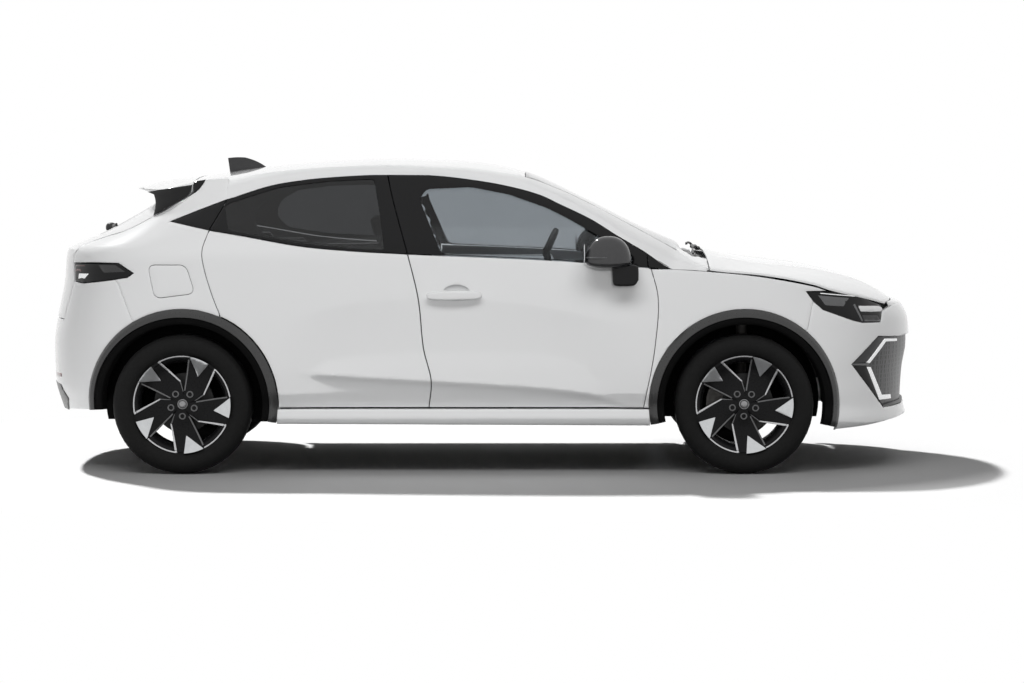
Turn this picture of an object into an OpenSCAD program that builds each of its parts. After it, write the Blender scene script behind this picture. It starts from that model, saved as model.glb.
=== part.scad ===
// Five-door hatchback as an assembly: skin panels, glass, chassis, seats and wheels.
// X runs forward, Y to the car's left, Z up; the origin is on the ground at mid length.

/* [Body] */
// Distance between the axles
wheelbase = 2591; // [2560:1:2620]
// Width over the doors at their widest line
body_w = 1736; // [1716:1:1760]
// Height of the roof's crown
roof_h = 1451; // [1435:1:1480]
// Thickness of the fixed outer panels
panel_t = 14; // [10:1:18]
// Thickness of a door, skin to lining
door_t = 46; // [42:1:50]
// Thickness of a door's outer skin and window frame
skin_t = 16; // [13:1:20]
// Shut gap round each moving panel
shut_gap = 5.5; // [5:0.5:7]
// Thickness of the window glass
glass_t = 5; // [4:0.5:7]

/* [Wheels] */
// Outer diameter of a tyre
tyre_d = 642; // [630:1:650]
// Width of a tyre
tyre_w = 205; // [195:1:210]
// Diameter of the rim over its lips
rim_d = 452; // [440:1:460]
// Distance between the wheels' centre planes
track = 1524; // [1516:1:1530]
// Outer radius of the arch trims
arch_r = 441; // [436:1:446]
// Width of the arch trims, seen from the side
arch_w = 70; // [60:1:74]

/* [Cabin] */
// Distance from the car's centre plane to a front seat's centre
seat_y = 370; // [355:1:380]
// Diameter of the steering wheel
steer_d = 370; // [350:1:380]

/* [Hidden] */
$fn = 64;

// Outlines below are drawn on the reference car and stretched to the sizes above.
kx = wheelbase / 2591;
kw = body_w / 1736;
belt_z = 950;
kz = (roof_h - belt_z) / (1451 - belt_z);
axle_f = 1209 * kx;
axle_r = -1382 * kx;
wheel_z = tyre_d / 2;
wheel_y = track / 2;
sill_z = 234;
door_z = 303;
function up(z) = z > belt_z ? belt_z + (z - belt_z) * kz : z;
function flat(p) = [kx * p.x, up(p.y)];
function flats(l) = [for (p = l) flat(p)];

// Half width of the body's section at height z, straight and with the hollow between the arches
function sec_full(z) = lookup(z, [[200, 800], [234, 815], [303, 846], [432, 862], [575, 866], [830, 868],
    [915, 864], [1000, 850], [1060, 821], [1120, 790], [1200, 746], [1300, 685], [1375, 635], [1440, 588]]);
function sec_hollow(z) = lookup(z, [[200, 800], [234, 815], [303, 838], [380, 855], [432, 862], [500, 847],
    [575, 835], [650, 842], [740, 860], [830, 868]]);
function ramp(t) = let (c = min(1, max(0, t))) c * c * (3 - 2 * c);
function hollow(x) = ramp((x + 960) / 260) * ramp((800 - x) / 260);
function sec(x, z) = (z > 830 ? sec_full(z) : sec_full(z) + (sec_hollow(z) - sec_full(z)) * hollow(x))
    * (1 - ramp((z - 980) / 370) * 0.13 * pow(min(1.25, max(0, (-300 - x) / 1100)), 1.5));
// Where the body ends at height z, ahead and behind
function nose(z) = lookup(z, [[200, 2030], [216, 2045], [291, 2030], [448, 2038], [575, 2058], [693, 2049],
    [740, 2028], [790, 1988]]);
function tail(z) = lookup(z, [[200, 1980], [265, 2010], [437, 2055], [575, 2058], [700, 2042], [870, 2008],
    [1025, 1990], [1074, 1880], [1160, 1710], [1250, 1560], [1300, 1500], [1375, 1430], [1440, 1380]]);
nose_x = 1250;
tail_x = -1300;
nose_e = [2.6, 2.2];
tail_e = [3.6, 2.6];
function side(x, z) = sec(x, z)
    * (x > nose_x ? pow(max(0, 1 - pow((x - nose_x) / (nose(z) - nose_x), nose_e[0])), 1 / nose_e[1])
    : x < tail_x ? pow(max(0, 1 - pow((tail_x - x) / (tail(z) + tail_x), tail_e[0])), 1 / tail_e[1]) : 1);

// The skin: a closed wrap of sections from the tail round the right side to the nose and back
cap_n = 8;
side_n = 14;
skin_zs = [200, 234, 303, 432, 500, 575, 700, 830, 915, 1000, 1074, 1160, 1250, 1375, 1440];
function tail_pt(a, z, d) = let (x = tail_x - (tail(z) + tail_x - d) * pow(cos(a), 2 / tail_e[0]))
    [x, -(sec(x, z) - d) * pow(sin(a), 2 / tail_e[1])];
function nose_pt(a, z, d) = let (x = nose_x + (nose(z) - nose_x - d) * pow(cos(a), 2 / nose_e[0]))
    [x, -(sec(x, z) - d) * pow(sin(a), 2 / nose_e[1])];
function half_ring(z, d) = concat(
    [for (i = [0:cap_n - 1]) tail_pt(90 * i / cap_n, z, d)],
    [for (i = [0:side_n]) let (x = tail_x + (nose_x - tail_x) * i / side_n) [x, -(sec(x, z) - d)]],
    [for (i = [cap_n - 1:-1:0]) nose_pt(90 * i / cap_n, z, d)]);
function ring(z, d) = let (h = half_ring(z, d), n = len(h))
    [for (p = concat(h, [for (i = [n - 2:-1:1]) [h[i].x, -h[i].y]])) [kx * p.x, kw * p.y, up(z)]];
function turned(g) = [for (i = [0:len(g[0]) - 1]) [for (r = g) r[i]]];

// Closed slab between two grids of points
module slab(a, b, closed = false) {
    n = len(a);
    m = len(a[0]);
    o = n * m;
    e = closed ? n - 1 : n - 2;
    function id(i, j) = (i % n) * m + j;
    polyhedron([for (r = a) each r, for (r = b) each r], concat(
        [for (i = [0:e], j = [0:m - 2]) each [[id(i, j), id(i, j + 1), id(i + 1, j + 1)],
            [id(i, j), id(i + 1, j + 1), id(i + 1, j)]]],
        [for (i = [0:e], j = [0:m - 2]) each [[o + id(i, j), o + id(i + 1, j + 1), o + id(i, j + 1)],
            [o + id(i, j), o + id(i + 1, j), o + id(i + 1, j + 1)]]],
        [for (i = [0:e]) each [[id(i, 0), id(i + 1, 0), o + id(i + 1, 0)],
            [id(i, 0), o + id(i + 1, 0), o + id(i, 0)]]],
        [for (i = [0:e]) each [[id(i, m - 1), o + id(i + 1, m - 1), id(i + 1, m - 1)],
            [id(i, m - 1), o + id(i, m - 1), o + id(i + 1, m - 1)]]],
        closed ? [] : [for (j = [0:m - 2]) each [[id(0, j), o + id(0, j), o + id(0, j + 1)],
            [id(0, j), o + id(0, j + 1), id(0, j + 1)]]],
        closed ? [] : [for (j = [0:m - 2]) each [[id(n - 1, j), o + id(n - 1, j + 1), o + id(n - 1, j)],
            [id(n - 1, j), id(n - 1, j + 1), o + id(n - 1, j + 1)]]]));
}
module skin(d0, d1) slab(turned([for (z = skin_zs) ring(z, d0)]), turned([for (z = skin_zs) ring(z, d1)]), true);
module both() { children(); mirror([0, 1, 0]) children(); }
// Prism across the right half of the car, or across all of it, on an outline seen from the side
module across(all = false) translate([0, all ? 1200 : -60, 0]) rotate([90, 0, 0])
    linear_extrude(all ? 2400 : 1140) children();
module outline(l, g = 0) offset(delta = -g) polygon(flats(l));
arch_in = max(arch_r - arch_w, tyre_d / 2 + 30);
module arches(r) for (x = [axle_f, axle_r]) translate([x, wheel_z]) circle(r, $fn = 40);
// A panel: the part of the skin between two depths that lies inside an outline, as one faceted piece
module cut_skin(d0, d1, all = false) resize([0, 0, 0]) intersection() {
    skin(d0, d1);
    across(all) children();
}

// The top: one surface over hood, windscreen and roof, given by its centre line and its edges
top_mid = [[-1346, 1365], [-1055, 1410], [-800, 1436], [-455, 1451], [-100, 1441], [100, 1415], [200, 1390],
    [502, 1255], [809, 1103], [1005, 1028], [1075, 1014], [1285, 966], [1532, 937], [1781, 877], [1900, 822],
    [1955, 784]];
top_edge = [[-1346, 1345], [-1184, 1362], [-943, 1392], [-700, 1412], [-455, 1420], [-150, 1412], [60, 1390],
    [200, 1366], [360, 1308], [502, 1242], [690, 1143], [809, 1079], [895, 1030], [1038, 950], [1285, 925],
    [1532, 879], [1596, 857], [1781, 810], [1885, 781], [1955, 762]];
top_half = [[-1346, 545], [-943, 586], [-455, 599], [60, 606], [240, 615], [476, 655], [690, 690], [895, 724],
    [1038, 852]];
hood_t = 10;
seat_on = 16; // how far the hood's edge stands over the fender's
function mid(x) = lookup(x, top_mid);
function edge(x) = lookup(x, top_edge);
function half(x) = x < 1038 ? lookup(x, top_half) : side(x, edge(x) - seat_on);
function top_pt(x, v, d) = [kx * x, kw * half(x) * v,
    up(mid(x) - (mid(x) - edge(x)) * pow(abs(v), x > 1000 ? 3 : 2.2)) - d];
module top_skin(xs, d) slab([for (x = xs) [for (v = [-5:5]) top_pt(x, v / 5, 0)]],
    [for (x = xs) [for (v = [-5:5]) top_pt(x, v / 5, d)]]);

// Shared outlines, seen from the right side
pillar_line = [[-411, 1374], [-415, 1267], [-342, 1014], [-293, 808], [-269, 579], [-232, 432], [-245, door_z]];
cowl_line = [[743, door_z], [795, 579], [810, 815], [777, 942], [757, 1013]];
lamp_line = [[1524, 798], [1570, 757], [1714, 705], [1762, 692], [1860, 690], [1875, 740]];
tail_line = [[-1910, 966], [-1905, 1010], [-1860, 1050], [-1761, 1087], [-1665, 1116], [-1531, 1183],
    [-1419, 1246], [-1370, 1278], [-1352, 1302], [-1352, 1330]];
rear_shut = [[-1184, 1264], [-1258, 1121], [-1289, 1027], [-1279, 952], [-1243, 831], [-1208, 736]];
function back(l) = [for (i = [len(l) - 1:-1:0]) l[i]];
function moved(l, x) = [for (p = l) [p.x + x, p.y]];
front_door_l = concat(cowl_line, [[499, 1176], [268, 1291], [-30, 1352], [-254, 1375]],
    moved(pillar_line, -shut_gap / 2));
front_window = [[-264, 1296], [-200, 1318], [54, 1298], [361, 1190], [592, 1036], [575, 1003], [200, 1030],
    [-175, 1047]];
rear_door_l = concat(moved(back(pillar_line), shut_gap / 2), [[-503, 1375], [-943, 1338]], rear_shut,
    [[-1208, door_z]]);
rear_window = [[-470, 1045], [-455, 1180], [-480, 1335], [-700, 1330], [-930, 1297], [-1030, 1240],
    [-1062, 1165], [-1010, 1098], [-800, 1062]];
flap_t = 9;
flap_up = (arch_r - 441) * 0.7;
flap_l = [for (p = [[-1536, 963], [-1362, 963], [-1320, 834], [-1504, 811]]) [p.x, p.y + flap_up]];
mouth_l = [[2100, 615], [1967, 617], [1845, 627], [1709, 502], [1878, 288], [2100, 288]];

module door(l, window, handle = false) resize([0, 0, 0]) difference() {
    union() {
        intersection() {
            skin(0, skin_t);
            across() difference() {
                outline(l, shut_gap);
                arches(arch_r + shut_gap);
                offset(r = 14) offset(delta = -14) outline(window);
            }
        }
        intersection() {
            skin(skin_t - 1, door_t);
            across() difference() {
                outline(l, shut_gap + 16);
                arches(arch_r + shut_gap + 16);
                outline(window, -12);
            }
        }
        if (handle) for (x = [-240, -16]) hull() {
            translate([kx * x, -kw * 868 - 11, 828]) sphere(11, $fn = 10);
            translate([kx * -128, -kw * 868 - 14, 828]) sphere(13, $fn = 10);
            translate([kx * x, -kw * 868 + 6, 828]) sphere(9, $fn = 10);
        }
    }
    if (handle) translate([kx * -128, -kw * 868 + 2, 826]) scale([78, 12, 34]) sphere(1, $fn = 14);
}
module window(l) cut_skin(skin_t, skin_t + glass_t) outline(l, -9);

module front_door() color("white") door(front_door_l, front_window, true);
module rear_door() color("white") door(rear_door_l, rear_window);
module front_glass() color([0.35, 0.38, 0.4, 0.6]) window(front_window);
module rear_glass() color([0.08, 0.08, 0.09, 0.9]) window(rear_window);
module mirror_housing() color("black") resize([0, 0, 0]) union() {
    hull() {
        translate([kx * 520, -kw * 868 - 50, 1010]) scale([34, 24, 50]) sphere(1, $fn = 14);
        translate([kx * 540, -kw * 868 - 112, 1028]) scale([52, 16, 58]) sphere(1, $fn = 14);
        translate([kx * 640, -kw * 868 - 80, 1012]) scale([36, 34, 50]) sphere(1, $fn = 14);
    }
    hull() {
        translate([kx * 600, -kw * 868 - 62, 985]) scale([34, 16, 30]) sphere(1, $fn = 12);
        translate([kx * 655, -kw * side(655, 900) - 11, 905]) scale([34, 10.5, 18]) sphere(1, $fn = 12);
    }
}

module roof_rails() {
    low = [[879, 945], [779, 943], [757, 1013], [620, 1101], [499, 1176], [361, 1242], [268, 1291], [120, 1325],
        [-30, 1352], [-254, 1375], [-411, 1375], [-503, 1375], [-720, 1360], [-943, 1338], [-1184, 1264]];
    xs = [895, 850, 809, 690, 580, 476, 360, 200, 60, -150, -350, -503, -720, -943, -1184];
    n = len(low);
    function pt(i, t, d) = let (a = [xs[i], half(xs[i]) + 0.9, edge(xs[i])],
        b = [low[i].x, side(low[i].x, low[i].y), low[i].y],
        p = a + (b - a) * t, bow = 10 * sin(180 * t))
        [kx * p.x, -kw * (p.y + bow - d * 26 * sin(90 * t)), up(p.z + bow * 0.8) - d * 14 * cos(90 * t)];
    color("white") both() slab([for (i = [n - 1:-1:0]) [for (t = [1, 0.66, 0.33, 0]) pt(i, t, 0)]],
        [for (i = [n - 1:-1:0]) [for (t = [1, 0.66, 0.33, 0]) pt(i, t, 1)]]);
}
module roof_panel() color("white") top_skin([-1346, -1260, -1150, -1055, -943, -800, -700, -580, -455, -300, -150,
    0, 100, 200], 14);
module windscreen() color([0.3, 0.34, 0.36, 0.6])
    top_skin([202, 280, 360, 431, 502, 600, 690, 750, 809, 895, 925], glass_t + 1);
module scuttle() color("black") resize([0, 0, 0]) intersection() {
    union() {
        top_skin([925, 960, 1000, 1038], 34);
        translate([0, 0, -hood_t - 0.3]) top_skin([1020, 1040 + shut_gap, 1064], 34 - hood_t);
    }
    block([0, -kw * 828, 0], [kx * 1100, kw * 828, 1600]);
}
module hood() color("white") resize([0, 0, 0]) intersection() {
    top_skin([1040 + shut_gap, 1064, 1100, 1190, 1285, 1400, 1473, 1532, 1596, 1690, 1781, 1840, 1885, 1920, 1955], hood_t);
    linear_extrude(1600) polygon([for (s = [1, -1]) each s > 0
        ? [for (p = [[1045, 0], [1045, 950], [1890, 950], [1892, 520], [1922, 420], [1946, 250], [1955, 0]])
            [kx * p.x, kw * p.y]]
        : [for (p = [[1946, 250], [1922, 420], [1892, 520], [1890, 950], [1045, 950]]) [kx * p.x, -kw * p.y]]]);
}
module b_pillars() color([0.15, 0.15, 0.16]) both() cut_skin(door_t + 9, door_t + 54)
    outline([[-345, door_z], [-190, door_z], [-222, 800], [-290, 1014], [-356, 1374], [-350, 1404], [-470, 1404],
        [-476, 1374], [-405, 1014], [-362, 800]]);
module sills() color("white") both() cut_skin(0, 62) difference() {
    outline([[-960, sill_z], [790, sill_z], [790, door_z - 3], [-960, door_z - 3]]);
    arches(arch_r);
}
module quarter_panels() color("white") {
    l = concat(rear_shut, [[-1208, 600], [-1560, 600], [-1612, 715], [-1675, 872], [-1690, 896], [-1632, 905],
        [-1602, 926], [-1675, 972]], tail_line, [[-1330, 1344], [-1184, 1360]]);
    resize([0, 0, 0]) union() {
        cut_skin(0, panel_t) difference() { outline(l); arches(arch_r); outline(flap_l, -shut_gap); }
        cut_skin(flap_t + 0.3, flap_t + 14) difference() { outline(flap_l, -shut_gap - 14); outline(flap_l, 14); }
    }
    mirror([0, 1, 0]) cut_skin(0, panel_t) difference() { outline(l); arches(arch_r); }
}
module filler_flap() color("white") cut_skin(0, flap_t) offset(r = 22) offset(delta = -22) outline(flap_l);
module front_fenders() color("white") both() cut_skin(0, panel_t) difference() {
    outline(concat(cowl_line, [[779, 943], [879, 945], [1038, 934], [1285, 909], [1532, 863], [1590, 844],
        [1587, 841], [1489, 843], [1523, 798], [1496, 660]]));
    arches(arch_r);
    outline([[740, 942], [779, 942], [779, 1030], [740, 1030]]);
}
module front_bumper() color("white") cut_skin(0, panel_t + 8, true) difference() {
    outline(concat([[1496, 660]], lamp_line, [[1900, 768], [2100, 768], [2100, 240], [2016, 238],
        [1911, 228], [1784, 214], [1600, 201]]));
    arches(arch_r);
    outline(mouth_l);
}
module headlamps() color([0.1, 0.1, 0.11]) both() cut_skin(1, 40)
    outline(concat([[1491, 841], [1587, 837], [1660, 825], [1737, 805], [1823, 781], [1866, 764]],
        back(lamp_line)), 0.8);
module grille() color([0.06, 0.06, 0.06]) cut_skin(10, 30, true) difference() {
    outline(mouth_l, 0.6);
    for (z = [312:44:560]) translate([kx * 1915, z]) square([300, 28]);
}
module running_lamps() color("gainsboro") both() cut_skin(1.7, 9.7) {
    outline([[1953, 608], [1953, 594], [1895, 598], [1806, 504], [1788, 510], [1883, 611]]);
    outline([[1786, 484], [1806, 486], [1866, 348], [1926, 342], [1926, 324], [1862, 326]]);
}
module rear_bumper() color("white") cut_skin(0, panel_t + 8, true) difference() {
    outline([[-1560, 600], [-1612, 715], [-1675, 872], [-1690, 895], [-1853, 873], [-1903, 880], [-1960, 700],
        [-2100, 700], [-2100, 264], [-1822, 288], [-1700, 288]]);
    arches(arch_r);
}
module tail_lamps() color([0.4, 0.02, 0.03]) both() cut_skin(1, 40)
    outline([[-1910, 966], [-1675, 972], [-1602, 926], [-1632, 905], [-1690, 896], [-1853, 873], [-1903, 880]], 0.4);
tail_gate_l = concat(tail_line, [[-1352, 1330.7 + shut_gap], [-2100, 1216.7 + shut_gap], [-2100, 700], [-1960, 700],
    [-1903, 880]]);
module rear_view() translate([-1300, 0, 0]) rotate([90, 0, -90]) linear_extrude(900) children();
module rear_pane(g) offset(r = 40) offset(delta = -40 - g)
    polygon([for (p = [[-430, 1092], [430, 1092], [452, 1130], [400, 1268], [-400, 1268], [-452, 1130]])
        [kw * p.x, up(p.y)]]);
module tailgate() color("white") resize([0, 0, 0]) difference() {
    intersection() { skin(0, door_t); across(true) outline(tail_gate_l, shut_gap); }
    rear_view() rear_pane(0);
}
module tailgate_glass() color([0.06, 0.06, 0.07, 0.9]) resize([0, 0, 0]) intersection() {
    skin(8, 8 + glass_t);
    rear_view() rear_pane(0.4);
}
module spoiler() {
    xs = [-1352, -1430, -1510, -1590, -1640, -1660];
    function low(x) = lookup(x, [[-1660, 1284], [-1352, 1331]]);
    function high(x) = lookup(x, [[-1660, 1308], [-1640, 1318], [-1510, 1348], [-1352, 1366]]);
    function wide(x) = lookup(x, [[-1660, 500], [-1510, 548], [-1352, 545]]);
    color("white") slab([for (x = xs) [for (v = [6:-1:-6]) [kx * x, kw * wide(x) * v / 6,
            up(high(x) - (high(x) - low(x) - 8) * pow(abs(v / 6), 2.4))]]],
        [for (x = xs) [for (v = [6:-1:-6]) [kx * x, kw * wide(x) * v / 6, up(low(x))]]]);
}
// Fins beside the rear window: they keep the side's sweep where the tailgate turns in
function fin_pt(x, z, d) = [kx * x, -kw * (sec(x, z) * pow(1 - pow((tail_x - x) / 372, 3.6), 1 / 2.6) + d), up(z)];
module spoiler_blades() color([0.06, 0.06, 0.06]) both() resize([0, 0, 0]) intersection() {
    slab([for (x = [-1600:50:-1350]) [for (z = [1180:40:1340]) fin_pt(x, z, 7)]],
        [for (x = [-1600:50:-1350]) [for (z = [1180:40:1340]) fin_pt(x, z, 0.6)]]);
    across(false) outline([[-1364, 1322], [-1366, 1293], [-1419, 1258], [-1531, 1195], [-1527, 1254], [-1538, 1284], [-1571, 1292]]);
}
function tail_at(y, z) = tail_x - (tail(z) + tail_x) * pow(1 - pow(abs(y) / sec(-1700, z), tail_e[1]), 1 / tail_e[0]);
module rear_wiper() color("black") hull() for (y = [0, -130, -260])
    translate([kx * tail_at(y, 1118 + y / 20) - 22, kw * y, up(1118 + y / 20)]) sphere(8.5, $fn = 8);

module arch_trims() color([0.07, 0.07, 0.07]) both() cut_skin(-16, 22) difference() {
    arches(arch_r - 0.6);
    arches(arch_in);
    translate([-2200, 0]) square([4400, sill_z - 8]);
}
module arch_liners() color([0.05, 0.05, 0.05]) both() cut_skin(22, 150) difference() {
    arches(arch_in + 8);
    arches(arch_in);
    translate([-2200, 0]) square([4400, wheel_z]);
}
module antenna() color("black") resize([0, 0, 0]) difference() {
    hull() {
        translate([kx * -1172, 0, up(1446)]) scale([8, 4, 11]) sphere(1, $fn = 20);
        translate([kx * -1066, 0, up(1402)]) scale([14, 14, 11]) sphere(1, $fn = 20);
        translate([kx * -1168, 0, up(1386)]) scale([22, 24, 11]) sphere(1, $fn = 20);
    }
    top_skin([-1346, -1260, -1150, -1055, -943], 60);
}
module wipers() color("black") {
    for (w = [[0.62, -0.08], [-0.12, -0.8]]) {
        for (i = [0:3]) hull() for (s = [i, i + 1])
            translate(top_pt(905 + (s == 4 ? 12 : 0), w[0] + (w[1] - w[0]) * s / 4, -9)) sphere(7, $fn = 6);
        hull() {
            translate(top_pt(905, w[0] + (w[1] - w[0]) * 0.5, -11)) sphere(6, $fn = 6);
            translate(top_pt(965, w[0] + (w[1] - w[0]) * 0.05, -12)) sphere(9, $fn = 6);
        }
        translate(top_pt(965, w[0] + (w[1] - w[0]) * 0.05, -5)) cylinder(r = 11, h = 8);
    }
}

floor_z = 250;
floor_t = floor_z - sill_z;
floor_y = kw * (815 - 62);
wall_x = 815 * kx;
step_x = -930 * kx;
boot_z = 446;
rail_y = 430 * kw;
rail_w = 40;
boot_y = wheel_y - tyre_w / 2 - 40;
tower_z = 790;
king_y = wheel_y - 57;
module block(a, b) translate(a) cube(b - a);
module floor_pan() color([0.2, 0.2, 0.21]) {
    block([step_x, -floor_y, sill_z], [wall_x - 15, floor_y, floor_z]);
    block([step_x - 16, -boot_y, sill_z], [step_x, boot_y, boot_z]);
    block([kx * -1925, -boot_y + 60, boot_z - 16], [step_x - 16, boot_y - 60, boot_z]);
    block([wall_x - 15, -floor_y + 20, sill_z], [wall_x, floor_y - 20, 985]);
    block([step_x, -130, floor_z], [wall_x - 15, 130, floor_z + 90]);
    both() {
        block([wall_x, rail_y, 420], [kx * 1865, rail_y + rail_w, 500]);
        block([axle_f - 100, rail_y + 24, 500], [axle_f + 100, rail_y + rail_w, tower_z]);
        difference() {
            block([axle_f - 100, rail_y + rail_w, tower_z - 16], [axle_f + 100, king_y, tower_z]);
            translate([axle_f, king_y - 92, tower_z - 30]) cylinder(r = 32, h = 60);
        }
    }
    block([kx * 1865, -rail_y - rail_w, 410], [kx * 1890, rail_y + rail_w, 510]);
}
module powertrain() color([0.3, 0.3, 0.32]) {
    block([880 * kx, 40 - rail_y, 300], [1290 * kx, rail_y - 40, 780]);
    block([1290 * kx, 40 - rail_y, 300], [1480 * kx, rail_y - 180, 640]);
    both() block([1080 * kx, rail_y - 40, 430], [1180 * kx, rail_y, 490]);
}
hang_x = [-1690, -1810];
module exhaust() color("dimgray") {
    translate([kx * -1750, -240, 300]) rotate([-90, 0, 0]) cylinder(r = 72, h = 480);
    translate([kx * -1750, 0, 195]) cylinder(r = 26, h = 60);
    translate([kx * -1776, 0, 195]) rotate([0, 90, 0]) cylinder(r = 26, h = kx * 2500);
    for (y = [-160, 160]) translate([kx * -1750, y, 360]) cylinder(r = 8, h = boot_z - 16 - 360);
}
arm_z = wheel_z - 96;
module front_subframe() color([0.25, 0.25, 0.26]) {
    block([axle_f - 150, -rail_y - rail_w, 205], [axle_f + 150, rail_y + rail_w, 262]);
    both() {
        for (x = [-130, 90]) block([axle_f + x, rail_y, 262], [axle_f + x + 40, rail_y + rail_w, 420]);
        difference() {
            union() {
                block([axle_f - 24, rail_y + rail_w, arm_z - 24], [axle_f + 24, king_y, arm_z]);
                translate([axle_f, king_y, arm_z - 24]) cylinder(r = 13.5, h = 24);
            }
            translate([axle_f, king_y, arm_z - 40]) cylinder(r = 8.3, h = 60);
        }
    }
}
spindle_r = 22;
disc_r = rim_d * 0.31;
hub_in = wheel_y - 44;
module spindle(inner) translate([0, inner, wheel_z]) rotate([-90, 0, 0]) {
    cylinder(r = 50, h = hub_in - inner);
    cylinder(r = spindle_r, h = hub_in - inner + 50);
}
module rear_axle() color([0.22, 0.22, 0.23]) {
    translate([axle_r + 130, -boot_y + 20, wheel_z - 10]) rotate([-90, 0, 0]) cylinder(r = 42, h = 2 * boot_y - 40);
    both() {
        block([axle_r - 50, boot_y - 50, wheel_z - 34], [step_x - 16, boot_y, wheel_z + 26]);
        translate([axle_r, 0, 0]) spindle(boot_y);
    }
}
module knuckle() color([0.3, 0.3, 0.31]) translate([axle_f, 0, 0]) {
    mirror([0, 1, 0]) {
        spindle(king_y - 40);
        block([-26, king_y - 30, arm_z + 0.4], [26, king_y + 10, wheel_z + 105]);
        translate([0, king_y, arm_z - 20]) cylinder(r = 8, h = 40);
        block([-20, king_y - 100, wheel_z + 58], [20, king_y - 20, wheel_z + 105]);
        translate([0, king_y - 92, wheel_z + 58]) cylinder(r = 25, h = tower_z - 46 - wheel_z - 58);
        translate([0, wheel_y - 40, wheel_z]) rotate([-90, 0, 0]) rotate([0, 0, 150]) rotate_extrude(angle = 60)
            polygon([[34, -26], [disc_r + 32, -26], [disc_r + 32, 46], [disc_r - 40, 46], [disc_r - 40, 28],
                [disc_r + 8, 28], [disc_r + 8, -6], [34, -6]]);
    }
}
module wheel_at(x, side) translate([x, side * wheel_y, wheel_z]) rotate([side < 0 ? 90 : -90, 0, 0]) children();
bead_r = rim_d / 2 - 12;
bead_w = 78;
module tyre() color([0.06, 0.06, 0.06]) {
    r = tyre_d / 2;
    w = tyre_w / 2;
    half_l = [[bead_r, bead_w], [rim_d / 2 + 2, bead_w], [rim_d / 2 + 6, bead_w + 10], [(bead_r + r) / 2, w],
        [r - 24, w - 4], [r - 6, w - 16], [r, w - 40]];
    rotate_extrude() polygon(concat(half_l, [for (p = back(half_l)) [p.x, -p.y]]));
}
module rim() color([0.2, 0.2, 0.21]) {
    l = rim_d / 2;
    rotate_extrude() polygon([[l, -86], [l, -bead_w], [bead_r, -bead_w], [bead_r, -50], [l - 24, -40], [l - 24, 40],
        [bead_r, 50], [bead_r, bead_w], [l, bead_w], [l, 86], [l - 14, 86], [l - 22, 66], [l - 34, 40], [l - 34, -60],
        [l - 22, -86]]);
    difference() {
        union() {
            translate([0, 0, -30]) cylinder(r = 68, h = 84);
            translate([0, 0, -38]) cylinder(r = disc_r, h = 20);
            for (i = [0:4]) rotate([0, 0, 72 * i]) intersection() {
                translate([0, 0, 46]) linear_extrude(24) polygon([for (p = [[l - 18, 0], [0.478 * l, -23.3], [50, -33],
                    [50, 33], [l - 18, 34], [l - 10, 17]])
                    p.x * [cos(p.y), sin(p.y)]]);
                cylinder(r = l - 27, h = 200);
            }
        }
        translate([0, 0, -60]) cylinder(r = spindle_r + 0.4, h = 84);
    }
}

steer_at = [284 * kx, seat_y, 935];
steer_tilt = 25;
module along_column() translate(steer_at) rotate([0, -90 + steer_tilt, 0]) children();
module dashboard() color([0.12, 0.12, 0.13]) {
    hull() {
        block([560 * kx, -floor_y + 30, 700], [wall_x - 15, floor_y - 30, 900]);
        block([600 * kx, -floor_y + 60, 660], [wall_x - 15, floor_y - 60, 950]);
    }
    along_column() translate([0, 0, -330]) cylinder(r = 30, h = 300);
    along_column() translate([0, 0, -60]) cylinder(r = 14, h = 60);
}
module steering_wheel() color([0.08, 0.08, 0.08]) along_column() difference() {
    union() {
        rotate_extrude() translate([steer_d / 2 - 15, 0]) circle(15, $fn = 32);
        translate([0, 0, -26]) cylinder(r = 62, h = 46);
        for (a = [0, 90, 180]) rotate([0, 0, a + 90]) translate([40, -18, -9]) cube([steer_d / 2 - 55, 36, 18]);
    }
    translate([0, 0, -40]) cylinder(r = 14.4, h = 41);
}
module pad(a, b, r) hull() for (x = [a.x + r, b.x - r], y = [a.y + r, b.y - r], z = [a.z + r, b.z - r])
    translate([x, y, z]) sphere(r, $fn = 8);
module front_seat() {
    block([kx * -190, -180, floor_z], [kx * 150, 180, 342]);
    pad([kx * -260, -235, 340], [kx * 250, 235, 480], 40);
    translate([kx * -235, 0, 470]) rotate([0, -20, 0]) {
        pad([-60, -230, -20], [60, 230, 560], 40);
        pad([-50, -120, 590], [45, 120, 760], 36);
        for (y = [-60, 60]) translate([0, y, 540]) cylinder(r = 7, h = 80);
    }
}
module front_seats() color([0.16, 0.16, 0.17]) for (s = [-1, 1]) translate([0, s * seat_y, 0]) front_seat();
module rear_bench() color([0.16, 0.16, 0.17]) {
    pad([step_x + 1, -590, floor_z + 87.3], [kx * -500, 590, 490], 40);
    translate([kx * -1010, 0, boot_z + 30]) rotate([0, -18, 0]) {
        pad([-60, -590, -10], [60, 590, 540], 40);
        for (y = [-330, 330]) {
            pad([-45, y - 115, 560], [40, y + 115, 680], 34);
            for (o = [-50, 50]) translate([0, y + o, 520]) cylinder(r = 7, h = 60);
        }
    }
}

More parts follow.
